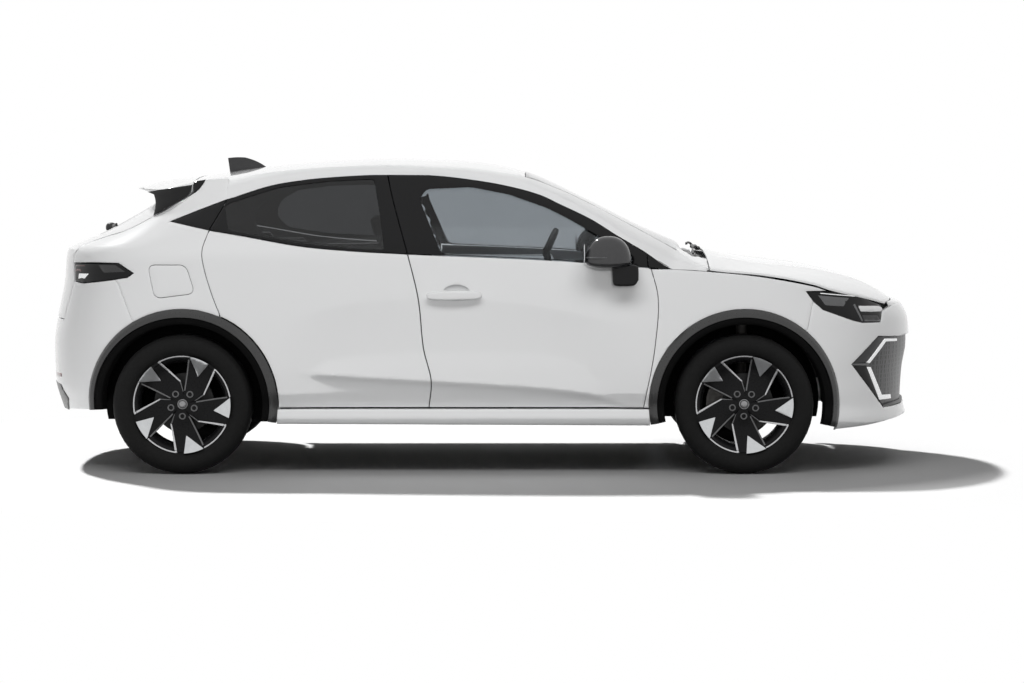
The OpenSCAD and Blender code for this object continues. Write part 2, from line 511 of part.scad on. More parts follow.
floor_pan();
sills();
b_pillars();
roof_rails();
quarter_panels();
roof_panel();
windscreen();
scuttle();
wipers();
front_fenders();
front_bumper();
grille();
headlamps();
running_lamps();
rear_bumper();
tail_lamps();
arch_trims();
arch_liners();
antenna();
dashboard();
front_seats();
rear_bench();
powertrain();
exhaust();
front_subframe();
rear_axle();
front_door();  // front_door_right
mirror([0, 1, 0]) front_door();  // front_door_left
rear_door();  // rear_door_right
mirror([0, 1, 0]) rear_door();  // rear_door_left
front_glass();  // front_glass_right
mirror([0, 1, 0]) front_glass();  // front_glass_left
rear_glass();  // rear_glass_right
mirror([0, 1, 0]) rear_glass();  // rear_glass_left
mirror_housing();  // mirror_right
mirror([0, 1, 0]) mirror_housing();  // mirror_left
tailgate();
tailgate_glass();
spoiler();
spoiler_blades();
rear_wiper();
hood();
filler_flap();
knuckle();  // knuckle_right
mirror([0, 1, 0]) knuckle();  // knuckle_left
wheel_at(axle_f, -1) tyre();  // tyre_front_right
wheel_at(axle_f, 1) tyre();  // tyre_front_left
wheel_at(axle_r, -1) tyre();  // tyre_rear_right
wheel_at(axle_r, 1) tyre();  // tyre_rear_left
wheel_at(axle_f, -1) rim();  // rim_front_right
wheel_at(axle_f, 1) rim();  // rim_front_left
wheel_at(axle_r, -1) rim();  // rim_rear_right
wheel_at(axle_r, 1) rim();  // rim_rear_left
steering_wheel();
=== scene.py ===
import bpy
import numpy as np
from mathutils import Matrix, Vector
from mathutils.geometry import delaunay_2d_cdt


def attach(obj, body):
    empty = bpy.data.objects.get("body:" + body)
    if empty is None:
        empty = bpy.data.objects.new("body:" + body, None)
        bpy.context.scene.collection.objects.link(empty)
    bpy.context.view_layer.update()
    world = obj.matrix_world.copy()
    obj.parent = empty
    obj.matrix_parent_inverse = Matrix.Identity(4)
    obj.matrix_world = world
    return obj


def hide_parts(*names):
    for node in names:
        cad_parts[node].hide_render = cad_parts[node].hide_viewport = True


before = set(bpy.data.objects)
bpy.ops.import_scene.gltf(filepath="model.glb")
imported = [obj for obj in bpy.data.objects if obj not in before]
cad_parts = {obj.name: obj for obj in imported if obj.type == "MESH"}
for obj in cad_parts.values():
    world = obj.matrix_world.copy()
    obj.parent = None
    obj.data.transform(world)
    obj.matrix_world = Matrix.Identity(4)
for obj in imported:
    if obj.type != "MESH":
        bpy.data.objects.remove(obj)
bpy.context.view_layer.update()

pi = np.pi


def ease(table):  # smooth curve through a table that never overshoots it
    t = np.array(table, float)
    x, y = t[:, 0], t[:, 1]
    h = np.diff(x)
    d = np.diff(y) / h
    m = np.zeros_like(y)
    k = d[:-1] * d[1:] > 0
    w1, w2 = 2 * h[1:] + h[:-1], h[1:] + 2 * h[:-1]
    m[1:-1][k] = (w1 + w2)[k] / (w1[k] / d[:-1][k] + w2[k] / d[1:][k])
    m[0], m[-1] = d[0], d[-1]

    def at(q):
        q = np.clip(np.asarray(q, float), x[0], x[-1])
        i = np.clip(np.searchsorted(x, q) - 1, 0, len(x) - 2)
        s = (q - x[i]) / h[i]
        return ((1 + 2 * s) * (1 - s) ** 2 * y[i] + s * (1 - s) ** 2 * h[i] * m[i]
                + s * s * (3 - 2 * s) * y[i + 1] + s * s * (s - 1) * h[i] * m[i + 1])
    return at


def ramp(t):
    c = np.clip(t, 0, 1)
    return c * c * (3 - 2 * c)


# body section: half width over height, full at the arches and hollowed between them (millimetres)
secFull = ease([[200, 822], [234, 845], [262, 852], [303, 847], [380, 860], [432, 865], [500, 868],
               [575, 867], [700, 862], [830, 854], [915, 847], [1000, 838], [1060, 820], [1120, 790],
               [1200, 746], [1300, 685], [1375, 635], [1440, 588]])
# the door hollow: where it starts, where its floor turns out again, and the crease below
hollowTop = ease([[-993, 567], [-925, 667], [-819, 727], [-650, 777], [-467, 800], [-270, 809], [-86, 805],
                 [143, 791], [372, 750], [573, 704], [756, 654], [830, 590]])
hollowLow = ease([[-796, 474], [-755, 507], [-650, 539], [-467, 557], [-238, 567], [-9, 567], [220, 562],
                 [372, 539], [463, 507], [527, 440]])
creaseLine = ease([[-796, 466], [-544, 447], [-238, 429], [69, 411], [298, 393], [482, 370], [692, 310]])
noseX = ease([[200, 2030], [216, 2045], [291, 2030], [448, 2038], [575, 2058], [693, 2049], [740, 2028],
             [790, 1988]])
tailX = ease([[200, 1980], [265, 2010], [437, 2055], [575, 2058], [700, 2042], [870, 2008], [1025, 1990],
             [1074, 1880], [1160, 1710], [1250, 1560], [1300, 1500], [1375, 1430], [1440, 1380]])
noseFrom, tailFrom, noseArc, tailArc = 1250, -1300, 800, 730
noseEnd, tailEnd = noseFrom + noseArc * pi / 2, tailFrom - tailArc * pi / 2


def section(x, z):
    x, z = np.asarray(x, float), np.asarray(z, float)
    top, low, crease = hollowTop(x), hollowLow(x), creaseLine(x)
    deep = 18 * ramp((x + 993) / 330) * ramp((830 - x) / 420)
    u = np.clip((top - z) / (top - low), 0, 1)
    v = np.clip((low - z) / np.maximum(low - crease, 8), 0, 1)
    rise = ramp((x + 850) / 150) * ramp((620 - x) / 150)
    under = 21 * (1 - np.exp(-np.clip(crease - z, 0,
                  400) / 26)) * ramp((x + 900) / 250) * ramp((760 - x) / 250)
    sunk = deep * (1 - (1 - u) ** 1.6) - (deep - 3) * v ** 1.25 * rise * (deep > 3) + under
    taper = 1 - ramp((z - 980) / 370) * 0.13 * np.clip((-300 - x) / 1100, 0, 1.25) ** 1.5
    # the front bumper stands out low down
    flare = ramp((x - 1250) / 250) * np.interp(z, [200, 216, 303, 432, 575, 640], [44, 36, 26, 8, 1, 0])
    return (secFull(z) + flare - sunk * (z > 303)) * taper


# skin(s, z): s runs along the side as x does, then round nose or tail as an angle, to the far side
def skin(s, z, d=0.0):
    s, z = np.asarray(s, float), np.asarray(z, float)
    far = (s > noseEnd) | (s < tailEnd)
    q = np.where(s > noseEnd, 2 * noseEnd - s, np.where(s < tailEnd, 2 * tailEnd - s, s))
    an = np.clip((noseEnd - q) / noseArc, 0, pi / 2)
    at = np.clip((q - tailEnd) / tailArc, 0, pi / 2)
    x = np.where(q > noseFrom, noseFrom + (noseX(z) - noseFrom - d) * np.cos(an) ** (2 / 2.6),
                 np.where(q < tailFrom, tailFrom - (tailX(z) + tailFrom - d) * np.cos(at) ** (2 / 3.6), q))
    w = np.where(q > noseFrom, np.sin(an) ** (2 / 2.2), np.where(q < tailFrom, np.sin(at) ** (2 / 2.6), 1))
    y = (section(x, z) - d) * w
    return np.stack([x, np.where(far, y, -y), z], -1)


def along(p):  # side view x, z to skin s, z
    p = np.array(p, float)
    x, z = p[:, 0], p[:, 1]
    tn = np.clip((x - noseFrom) / (noseX(z) - noseFrom), 0, 1)
    tt = np.clip((tailFrom - x) / (tailX(z) + tailFrom), 0, 1)
    s = np.where(x > noseFrom, noseEnd - noseArc * np.arccos(tn ** 1.3),
                 np.where(x < tailFrom, tailEnd + tailArc * np.arccos(tt ** 1.8), x))
    return np.stack([s, z], -1)


def half(x, z):  # half width of the skin at side view x, z
    return -skin(*along(np.stack([np.ravel(x), np.ravel(z)], -1)).T)[:, 1]


def run(*pts, step=12):  # smooth curve through points, without its last one
    p = np.array(pts, float)
    if len(p) == 2:
        n = max(1, int(np.hypot(*(p[1] - p[0])) / step))
        return p[0] + (p[1] - p[0]) * (np.arange(n) / n)[:, None]
    q = np.vstack([2 * p[0] - p[1], p, 2 * p[-1] - p[-2]])
    out = []
    for i in range(len(p) - 1):
        a, b, c, d = q[i:i + 4]
        l = np.sqrt(np.hypot(*(np.array([b - a, c - b, d - c]).T))) + 1e-9
        t0, t1 = 0, l[0]
        t2, t3 = t1 + l[1], t1 + l[1] + l[2]
        n = max(2, int(np.hypot(*(c - b)) / step))
        t = (t1 + (t2 - t1) * np.arange(n) / n)[:, None]
        a1, a2, a3 = [((hi - t) * u + (t - lo) * v) / (hi - lo) for u, v, lo, hi in
                      ((a, b, t0, t1), (b, c, t1, t2), (c, d, t2, t3))]
        b1, b2 = ((t2 - t) * a1 + (t - t0) * a2) / (t2 - t0), ((t3 - t) * a2 + (t - t1) * a3) / (t3 - t1)
        out.append(((t2 - t) * b1 + (t - t1) * b2) / (t2 - t1))
    return np.vstack(out)


def poly(*pts, step=12):  # straight lines between points, without the last one
    return np.vstack([run(a, b, step=step) for a, b in zip(pts[:-1], pts[1:])])


def arc(centre, r, a0, a1, n=40):
    a = np.radians(np.linspace(a0, a1, n))
    return np.stack([centre[0] + r * np.cos(a), centre[1] + r * np.sin(a)], -1)


def ccw(l):
    area = np.sum(l[:, 0] * np.roll(l[:, 1], -1) - l[:, 1] * np.roll(l[:, 0], -1))
    return l if area > 0 else l[::-1]


def inset(l, g):  # closed line moved to its left by g
    e = np.roll(l, -1, 0) - l
    e = e / (np.linalg.norm(e, axis=1)[:, None] + 1e-12)
    n2 = np.stack([-e[:, 1], e[:, 0]], -1)
    n1 = np.roll(n2, 1, 0)
    m = (n1 + n2) / np.maximum(0.35, 1 + np.sum(n1 * n2, 1))[:, None]
    return l + g * m


def rounded(l, r):  # closed corner points with each corner turned into an arc of about r
    l = np.array(l, float)
    out = []
    for a, b, c in zip(np.roll(l, 1, 0), l, np.roll(l, -1, 0)):
        u, v = a - b, c - b
        k = min(r, 0.45 * np.hypot(*u), 0.45 * np.hypot(*v))
        p, q = b + u / np.hypot(*u) * k, b + v / np.hypot(*v) * k
        t = np.linspace(0, 1, 7)[:, None]
        out.append((1 - t) ** 2 * p + 2 * t * (1 - t) * b + t * t * q)
    return dense(np.vstack(out))


def dense(l, step=14):
    return np.vstack([run(a, b, step=step) for a, b in zip(l,
                     np.roll(l, -1, 0)) if np.hypot(*(b - a)) > 0.01])


def inside(p, l):  # even-odd test of points against a closed line
    a, b = l, np.roll(l, -1, 0)
    up = (a[None, :, 1] > p[:, None, 1]) != (b[None, :, 1] > p[:, None, 1])
    dz = np.where(np.abs(b[:, 1] - a[:, 1]) < 1e-9, 1e-9, b[:, 1] - a[:, 1])
    cx = a[None, :, 0] + (p[:, None, 1] - a[None, :, 1]) * ((b - a)[:, 0] / dz)[None]
    return np.sum(up & (p[:, None, 0] < cx), 1) % 2 == 1


def meshObject(name, verts, faces, material, sharp=40):
    me = bpy.data.meshes.new(name)
    me.from_pydata((np.asarray(verts) * 0.001).tolist(), [], faces)
    me.update()
    me.polygons.foreach_set("use_smooth", np.ones(len(me.polygons), bool))
    me.set_sharp_from_angle(angle=np.radians(sharp))
    me.materials.append(material)
    ob = bpy.data.objects.new(name, me)
    bpy.context.collection.objects.link(ob)
    return ob


def place(ob, body, nodes=()):
    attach(ob, body)
    if nodes:
        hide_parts(*([nodes] if isinstance(nodes, str) else nodes))
    return ob


# panel: the part of a surface inside a closed line, with rounded edges, a returned flange and a back
def panelMesh(line, holes=(), surf=skin, depth=0.0, thick=14.0, step=26.0, lip=2.5):
    loops = [ccw(np.asarray(line))] + [ccw(np.asarray(h))[::-1] for h in holes]
    pts, drop, edges, ring, base = [], [], [], [], 0
    for l in loops:
        n = len(l)
        ring.append(base + np.arange(n))
        edges += [(base + i, base + (i + 1) % n) for i in range(n)]
        for g in (0, 0.3, 1):
            pts.append(inset(l, g * lip))
            drop.append(np.full(n, lip * (1 - np.sqrt(1 - (1 - g) ** 2))))
        base += 3 * n
    border = np.vstack(loops)
    lo, hi = border.min(0), border.max(0)
    gx, gz = np.meshgrid(np.arange(lo[0] + step / 2, hi[0], step), np.arange(lo[1] + step / 2, hi[1], step))
    grid = np.stack([gx.ravel(), gz.ravel()], -1)
    keep = inside(grid, loops[0])
    for h in loops[1:]:
        keep &= ~inside(grid, h)
    grid = grid[keep]
    if len(grid):
        near = ((border[None] - grid[:, None]) ** 2).sum(-1).min(1)
        grid = grid[near > (0.5 * step) ** 2]
    pts.append(grid)
    drop.append(np.zeros(len(grid)))
    pts, drop = np.vstack(pts), np.concatenate(drop)
    v, _, f, orig, _, _ = delaunay_2d_cdt(pts.tolist(), edges, [], 0, 1e-6)
    v = np.array([tuple(p) for p in v])
    src = np.array([o[0] if o else 0 for o in orig])
    where = np.full(len(pts), -1)
    for i, o in enumerate(orig):
        where[o] = i
    f = np.array([t for t in f if len(t) == 3])
    mid = v[f].mean(1)
    ok = inside(mid, loops[0])
    for h in loops[1:]:
        ok &= ~inside(mid, h)
    f = f[ok]
    a = surf(v[:, 0], v[:, 1], depth + drop[src])
    b = surf(v[:, 0], v[:, 1], np.full(len(v), depth + thick))
    n = len(v)
    faces = f.tolist() + (f[:, ::-1] + n).tolist()
    for r in ring:
        i, j = where[r], where[np.roll(r, -1)]
        faces += np.stack([i, i + n, j + n, j], -1).tolist()
    verts = np.vstack([a, b])
    return verts, faces


def mirrored(verts, faces):
    return verts * [1, -1, 1], [t[::-1] for t in faces]


def joined(*meshes):
    out, faces, n = [], [], 0
    for v, f in meshes:
        out.append(np.asarray(v))
        faces += [[i + n for i in t] for t in f]
        n += len(v)
    return np.vstack(out), faces


def gridMesh(a, b):  # closed slab between two grids of points
    n, m = a.shape[:2]
    k = np.arange(n * m).reshape(n, m)
    o = n * m
    q = np.stack([k[:-1, :-1], k[1:, :-1], k[1:, 1:], k[:-1, 1:]], -1).reshape(-1, 4)
    edge = np.concatenate([k[:, 0], k[-1, 1:], k[-2::-1, -1], k[0, -2:0:-1]])
    nxt = np.roll(edge, -1)
    faces = q.tolist() + (q[:, ::-1] + o).tolist() + np.stack([edge, edge + o, nxt + o, nxt], -1).tolist()
    return np.vstack([a.reshape(-1, 3), b.reshape(-1, 3)]), faces


# top surface over hood, windscreen and roof: centre line, edge height and half width along x
topMid = ease([[-1346, 1365], [-1055, 1410], [-800, 1436], [-455, 1451], [-100, 1441], [100, 1415],
              [200, 1390], [502, 1255], [809, 1103], [1005, 1028], [1075, 1014], [1285, 966], [1532, 937],
              [1781, 877], [1900, 822], [1955, 784]])
topEdge = ease([[-1346, 1345], [-1184, 1362], [-943, 1392], [-700, 1412], [-455, 1420], [-150, 1412],
               [60, 1390], [200, 1366], [360, 1308], [502, 1242], [690, 1143], [809, 1079], [895, 1030],
               [1038, 950], [1285, 925], [1532, 879], [1596, 857], [1781, 810], [1885, 781], [1955, 762]])
topSide = ease([[-1346, 545], [-943, 586], [-455, 599], [60, 606], [240, 615], [476, 655], [690, 690],
               [895, 724], [1038, 852]])


def topHalf(x):
    x = np.asarray(x, float)
    return np.where(x < 1038, topSide(x), half(np.maximum(x, 1038),
                    topEdge(np.maximum(x, 1038)) - 16).reshape(x.shape))


def top(x, y, d=0.0):
    x, y = np.asarray(x, float), np.asarray(y, float)
    v = np.abs(y) / topHalf(x)
    z = topMid(x) - (topMid(x) - topEdge(x)) * v ** np.where(x > 1000, 3, 2.2)
    return np.stack([x, y, z - d], -1)


def nodeTree(name):
    mat = bpy.data.materials.new(name)
    mat.use_nodes = True
    nt = mat.node_tree
    return mat, nt, nt.nodes["Principled BSDF"], nt.nodes.new("ShaderNodeTexCoord")


def noise(nt, coord, scale, detail=3):
    n = nt.nodes.new("ShaderNodeTexNoise")
    n.inputs["Scale"].default_value = scale
    n.inputs["Detail"].default_value = detail
    nt.links.new(coord, n.inputs["Vector"])
    return n


def spread(nt, value, lo, hi, fromLo=0.3, fromHi=0.7):
    m = nt.nodes.new("ShaderNodeMapRange")
    for i, v in enumerate((fromLo, fromHi, lo, hi)):
        m.inputs[i + 1].default_value = v
    nt.links.new(value, m.inputs[0])
    return m.outputs[0]


def tint(nt, value, dark, light):
    m = nt.nodes.new("ShaderNodeMix")
    m.data_type = "RGBA"
    nt.links.new(value, m.inputs["Factor"])
    m.inputs["A"].default_value = (*dark, 1)
    m.inputs["B"].default_value = (*light, 1)
    return m.outputs["Result"]


def bump(nt, value, p, strength, distance):
    b = nt.nodes.new("ShaderNodeBump")
    b.inputs["Strength"].default_value = strength
    b.inputs["Distance"].default_value = distance
    nt.links.new(value, b.inputs["Height"])
    nt.links.new(b.outputs[0], p.inputs["Normal"])


# a finish: colour that drifts between two shades, roughness that varies, fine relief
def finish(name, dark, light, rough, scale=30, relief=None, metal=0, coat=0, spec=0.5, clear=0, ior=1.45,
           shine=1.5):
    mat, nt, p, tc = nodeTree(name)
    n = noise(nt, tc.outputs["Object"], scale)
    nt.links.new(tint(nt, n.outputs[0], dark, light), p.inputs["Base Color"])
    nt.links.new(spread(nt, noise(nt, tc.outputs["Object"], scale * 2.7).outputs[0], *rough),
                 p.inputs["Roughness"])
    if relief:
        bump(nt, noise(nt, tc.outputs["Object"], relief[0], 2).outputs[0], p, relief[1], relief[2])
    p.inputs["Metallic"].default_value = metal
    p.inputs["Coat Weight"].default_value = coat
    p.inputs["Coat Roughness"].default_value = 0.03
    p.inputs["Coat IOR"].default_value = shine
    p.inputs["Specular IOR Level"].default_value = spec
    p.inputs["Transmission Weight"].default_value = clear
    p.inputs["IOR"].default_value = ior
    return mat


paint = finish("whitePaint", (0.80, 0.805, 0.81), (0.83, 0.835, 0.84), (0.28, 0.36), 900,
               (260, 0.02, 0.0004), coat=1, spec=0.2, shine=2.4)
gloss = finish("glossBlack", (0.004, 0.004, 0.0045), (0.006, 0.006, 0.0065), (0.08, 0.16), 60,
               (300, 0.02, 0.0003), spec=0.26)
clad = finish("grainedCladding", (0.006, 0.006, 0.006), (0.010, 0.010, 0.010), (0.26, 0.36), 40,
              (900, 0.2, 0.0005), spec=0.9)
cladIn = finish("dullCladding", (0.0025, 0.0025, 0.0025), (0.004, 0.004, 0.004), (0.5, 0.65), 40,
                (900, 0.2, 0.0005), spec=0.06)
clearGlass = finish("tintedGlass", (0.44, 0.465, 0.485), (0.46, 0.485, 0.505), (0.0, 0.015), 6, clear=1,
                    ior=1.3)
darkGlass = finish("privacyGlass", (0.14, 0.145, 0.15), (0.155, 0.16, 0.165), (0.0, 0.02), 6, clear=1,
                   ior=1.4)
steel = finish("chassisSteel", (0.03, 0.03, 0.032), (0.07, 0.07, 0.072), (0.45, 0.7), 25, (200, 0.3, 0.001),
               metal=0.3)
iron = finish("castIron", (0.06, 0.058, 0.055), (0.12, 0.115, 0.11), (0.5, 0.75), 30, (350, 0.5, 0.0012),
              metal=0.6)
plastic = finish("cabinPlastic", (0.016, 0.016, 0.017), (0.028, 0.028, 0.03), (0.5, 0.65), 50,
                 (1200, 0.3, 0.0006))
print("stage 1: surfaces and finishes")

gap = 2.2
frontAxle, rearAxle, archRise = (1209, 321), (-1382, 321), 441
pillar = [(-440, 1373), (-415, 1267), (-342, 1014), (-293, 808), (-269, 579), (-234, 432), (-245, 306)]
cowl = [(745, 306), (795, 579), (810, 815), (779, 945)]
belt = [(-1448, 1161), (-1258, 1121), (-1104, 1096), (-839, 1050), (-602, 1028), (-342, 1014), (359, 983),
        (765, 952)]
rearShut = [(-1184, 1264), (-1262, 1121), (-1289, 1027), (-1279, 952), (-1243, 831), (-1203, 728)]
tailLine = [(-1910, 966), (-1905, 1010), (-1860, 1050), (-1761, 1087), (-1665, 1116), (-1531, 1183),
            (-1419, 1246), (-1348, 1288), (-1323, 1307), (-1290, 1356)]
lampLine = [(1524, 798), (1570, 757), (1714, 705), (1762, 692), (1860, 690), (1872, 740)]
lampTop = [(1491, 841), (1587, 841), (1660, 837), (1737, 821), (1823, 795), (1872, 766)]
flapLine = rounded([(-1536, 963), (-1362, 963), (-1320, 834), (-1504, 811)], 34)
frontPane = rounded([(-290, 1262), (-262, 1310), (-51, 1319), (121, 1286), (299, 1224), (399, 1174),
                    (690, 1010), (690, 964), (359, 990), (-186, 1014)], 26)
rearPane = rounded([(-450, 1034), (-470, 1180), (-503, 1356), (-720, 1346), (-943, 1318), (-1165, 1248),
                   (-1196, 1232), (-1172, 1124), (-1104, 1112), (-839, 1064), (-602, 1040)], 16)
rearInner = rounded([(-470, 1050), (-455, 1180), (-480, 1330), (-700, 1325), (-930, 1294), (-1030, 1240),
                    (-1062, 1165), (-1010, 1100), (-800, 1066)], 40)


def shut(line, g=gap):
    return inset(ccw(line), g)


def bothSides(name, line, material, bodies, nodes, holes=(), slot=None, **k):
    m = panelMesh(along(line), [along(h) for h in holes], **k)
    out = []
    for side, mesh, body, node in zip(("Right", "Left"), (m, mirrored(*m)), bodies, nodes):
        out.append(place(meshObject(name + side, *mesh, material), body, node))
    return out


def bothInOne(name, line, material, node, holes=(), slot=None, **k):
    m = panelMesh(along(line), [along(h) for h in holes], **k)
    return place(meshObject(name, *joined(m, mirrored(*m)), material), "body", node)


frontDoors, rearDoors = ("front_right_door", "front_left_door"), ("rear_right_door", "rear_left_door")
pair = lambda n: (n + "_right", n + "_left")
none = ((), ())
line = np.vstack([run(*cowl), run((779, 945), (779, 951)), run((765, 952), (359, 983), (-342, 1014)),
                  run(*pillar[2:]), poly((-245, 306), (745, 306))])
t = np.linspace(0, 2 * pi, 48, endpoint=False)
cup = np.stack([-117 + 60 * np.cos(t), 838 + 36 * np.sin(t)], -1)
bothSides("frontDoor", shut(line), paint, frontDoors, pair("front_door"), [cup], slot="white_paint",
          thick=40, step=12)
line = np.vstack([run((-342, 1014), (359, 983), (765, 952)), run((765, 952), (757, 1019)),
                 run((757, 1019), (499, 1176), (361, 1242), (200, 1308), (-30, 1352), (-254, 1375),
                 (-440, 1375)), run(*pillar[:3])])
bothSides("frontFrame", shut(line), gloss, frontDoors, none, [frontPane], slot="gloss_black", thick=26,
          depth=1)
bothSides("frontGlass", shut(frontPane, -8), clearGlass, frontDoors, pair("front_glass"), slot="glass",
          depth=13, thick=4, lip=0.5)
arch = arc(rearAxle, archRise + 3, 66.5, -2, 40)
line = np.vstack([run(*belt[1:6]), run(*pillar[2:]), poly((-245, 306), (-938, 306)), arch[::-1],
                 run(*rearShut[1:][::-1])])
bothSides("rearDoor", shut(line), paint, rearDoors, pair("rear_door"), slot="white_paint", thick=40,
          step=12)
line = np.vstack([run(*belt[1:6]), run(*pillar[:3][::-1]),
                 run((-440, 1375), (-503, 1376), (-720, 1364), (-943, 1336), (-1184, 1264)),
                 run((-1184, 1264), (-1262, 1121))])
bothSides("rearFrame", shut(line), gloss, rearDoors, none, [rearPane], slot="gloss_black", thick=26,
          depth=1)
bothSides("rearGlass", shut(rearPane, -6), darkGlass, rearDoors, pair("rear_glass"), slot="privacy_glass",
          depth=4, thick=4, lip=0.5)
bothSides("rearInner", shut(rearPane, -4), plastic, rearDoors, none, [rearInner], slot="cabin_plastic",
          depth=16, thick=16)
line = np.vstack([run((765, 952), (879, 945)), run((879, 945), (757, 1020)), run((757, 1020), (765, 952))])
bothInOne("sailTrim", shut(line, 1), gloss, (), slot="gloss_black", depth=1)
line = np.vstack([run((-1262, 1122), (-1448, 1161)), run((-1448, 1161), (-1184, 1264)),
                 run((-1184, 1264), (-1262, 1122))])
bothInOne("rearCornerTrim", shut(line, 1), gloss, (), slot="gloss_black", depth=1)
line = np.vstack([poly((-1448, 1161), (-1262, 1121)), run(*rearShut[1:]),
                 arc(rearAxle, archRise, 66.5, 120, 40), poly((-1607, 705), (-1612, 715), (-1675, 872),
                 (-1690, 896), (-1632, 905), (-1602, 926), (-1675, 972)),
                 run((-1675, 972), (-1800, 972), (-1910, 966)), run(*tailLine),
                 run((-1290, 1356), (-1184, 1360)), run((-1184, 1360), (-1184, 1264)),
                 run((-1184, 1264), (-1320, 1212), (-1448, 1161))])
m = panelMesh(along(shut(line, 0.6)), [along(shut(flapLine, -gap))], step=16)
n = panelMesh(along(shut(line, 0.6)), step=16)
place(meshObject("quarters", *joined(m, mirrored(*n)), paint), "body", "quarter_panels")
place(meshObject("flap", *panelMesh(along(flapLine), thick=8), paint), "fuel_flap", "filler_flap")
line = np.vstack([run(*cowl), run((779, 945), (879, 945)),
                 run((879, 945), (1038, 934), (1285, 909), (1532, 863), (1587, 845)),
                 poly((1587, 845), (1587, 843), (1491, 843), (1524, 798), (1496, 660)),
                 arc(frontAxle, archRise, 50, 180, 60), poly((768, 321), (768, 306), (745, 306))])
bothInOne("fenders", shut(line, 0.7), paint, "front_fenders", slot="white_paint", step=16)
line = poly((-946, 232), (774, 224), (774, 300), (-946, 300), (-946, 232))
bothInOne("sillPanels", line, paint, "sills", slot="white_paint", thick=60, step=14, lip=5)


def wrapped(pts, end):  # right half of a closed line from centre to centre, with its far half added
    p = along(np.vstack(pts)) if not isinstance(pts, np.ndarray) else pts
    return np.vstack([p, (p * [-1, 1] + [2 * end, 0])[::-1]])


def centred(p, end):  # put the first and last point on the centre plane
    p = p.copy()
    p[[0, -1], 0] = end
    return p


mouth = [(2054, 615), (1967, 617), (1845, 627), (1709, 502), (1878, 288), (2030, 288)]
line = np.vstack([run((2010, 766), (1940, 764)), poly((1940, 764), *lampLine[::-1], (1496, 660)),
                 arc(frontAxle, archRise, 50, -15.8, 40),
                 run((1634, 204), (1784, 214), (1911, 228), (2016, 238), (2042, 240)), [(2042, 240)]])
p = centred(along(line), noseEnd)
p = np.vstack([run(p[0], p[1], step=30), p[1:-1], run(p[-2], p[-1], step=30), p[-1:]])
q = centred(along(np.vstack([poly(*mouth), mouth[-1:]])), noseEnd)
q = np.vstack([run(q[0], q[1], step=30), q[1:-1], run(q[-2], q[-1], step=30), q[-1:]])
frontSkin = wrapped(p, noseEnd)
mouthLine = wrapped(q, noseEnd)
m = panelMesh(shut(dense(frontSkin), 0.6), [dense(mouthLine)], thick=18, step=18, lip=3)
place(meshObject("frontBumper", *m, paint), "body", "front_bumper")
line = np.vstack([run((-2042, 700), (-1960, 700)),
                 poly((-1960, 700), (-1903, 880), (-1853, 873), (-1690, 895), (-1675, 872), (-1612, 715),
                 (-1600, 704)), arc(rearAxle, archRise, 119.6, 184, 40),
                 run((-1822, 290), (-1900, 284), (-2010, 266)), [(-2010, 266)]])
p = centred(along(line), tailEnd)
p = np.vstack([run(p[0], p[1], step=30), p[1:-1], run(p[-2], p[-1], step=30), p[-1:]])
place(meshObject("rearBumper", *panelMesh(shut(dense(wrapped(p, tailEnd)), 0.6), thick=18, step=18, lip=3),
      paint), "body", "rear_bumper")


def alongRear(y, z):  # rear view y, z to skin s, z on the right half
    return np.stack([tailEnd + tailArc * np.arcsin(np.clip((np.abs(y) / section(-1700 + 0 * z, z)) ** 1.3,
                    0, 1)), z], -1)


line = np.vstack([poly((-1660, 1284), (-1352, 1331)), run((-1352, 1331), (-1354, 1300)),
                 run((-1354, 1300), (-1370, 1278), *tailLine[6::-1]),
                 poly((-1910, 966), (-1903, 880), (-1960, 700), (-2042, 700)), [(-2042, 700)]])
p = centred(along(line), tailEnd)
p = np.vstack([run(p[0], p[1], step=30), p[1:-1], run(p[-2], p[-1], step=30), p[-1:]])
pane = rounded([(0, 1092), (430, 1092), (452, 1130), (400, 1268), (0, 1268)], 30)
z = pane[:, 1]
q = alongRear(pane[:, 0], z)
q = np.vstack([q[q[:, 0] > tailEnd + 20]])
q = q[np.argsort(np.arctan2(q[:, 1] - 1180, q[:, 0] - tailEnd - 5))]
q = np.vstack([[(tailEnd, q[0, 1])], q, [(tailEnd, q[-1, 1])]])
rearPaneLine = wrapped(q, tailEnd)
m = panelMesh(shut(dense(wrapped(p, tailEnd)), gap), [dense(rearPaneLine)], thick=36, lip=3)
place(meshObject("tailgatePanel", *m, paint), "tail_door", "tailgate")
m = panelMesh(shut(dense(rearPaneLine), 1), depth=3, thick=5, lip=1)
place(meshObject("tailgatePane", *m, darkGlass), "tail_door", "tailgate_glass")
print("stage 2: side, nose and tail panels")

# spoiler blades: black panels outside the tailgate's upper edges, and a fixed corner ahead of the hinge
def fin(x, z, d=0.0):  # keeps the side's sweep where the tailgate turns in
    x, z = np.asarray(x, float), np.asarray(z, float)
    y = section(x, z) * (1 - (np.clip(-1300 - x, 0, 360) / 372) ** 3.6) ** (1 / 2.6) - d
    return np.stack([x, -y, z], -1)


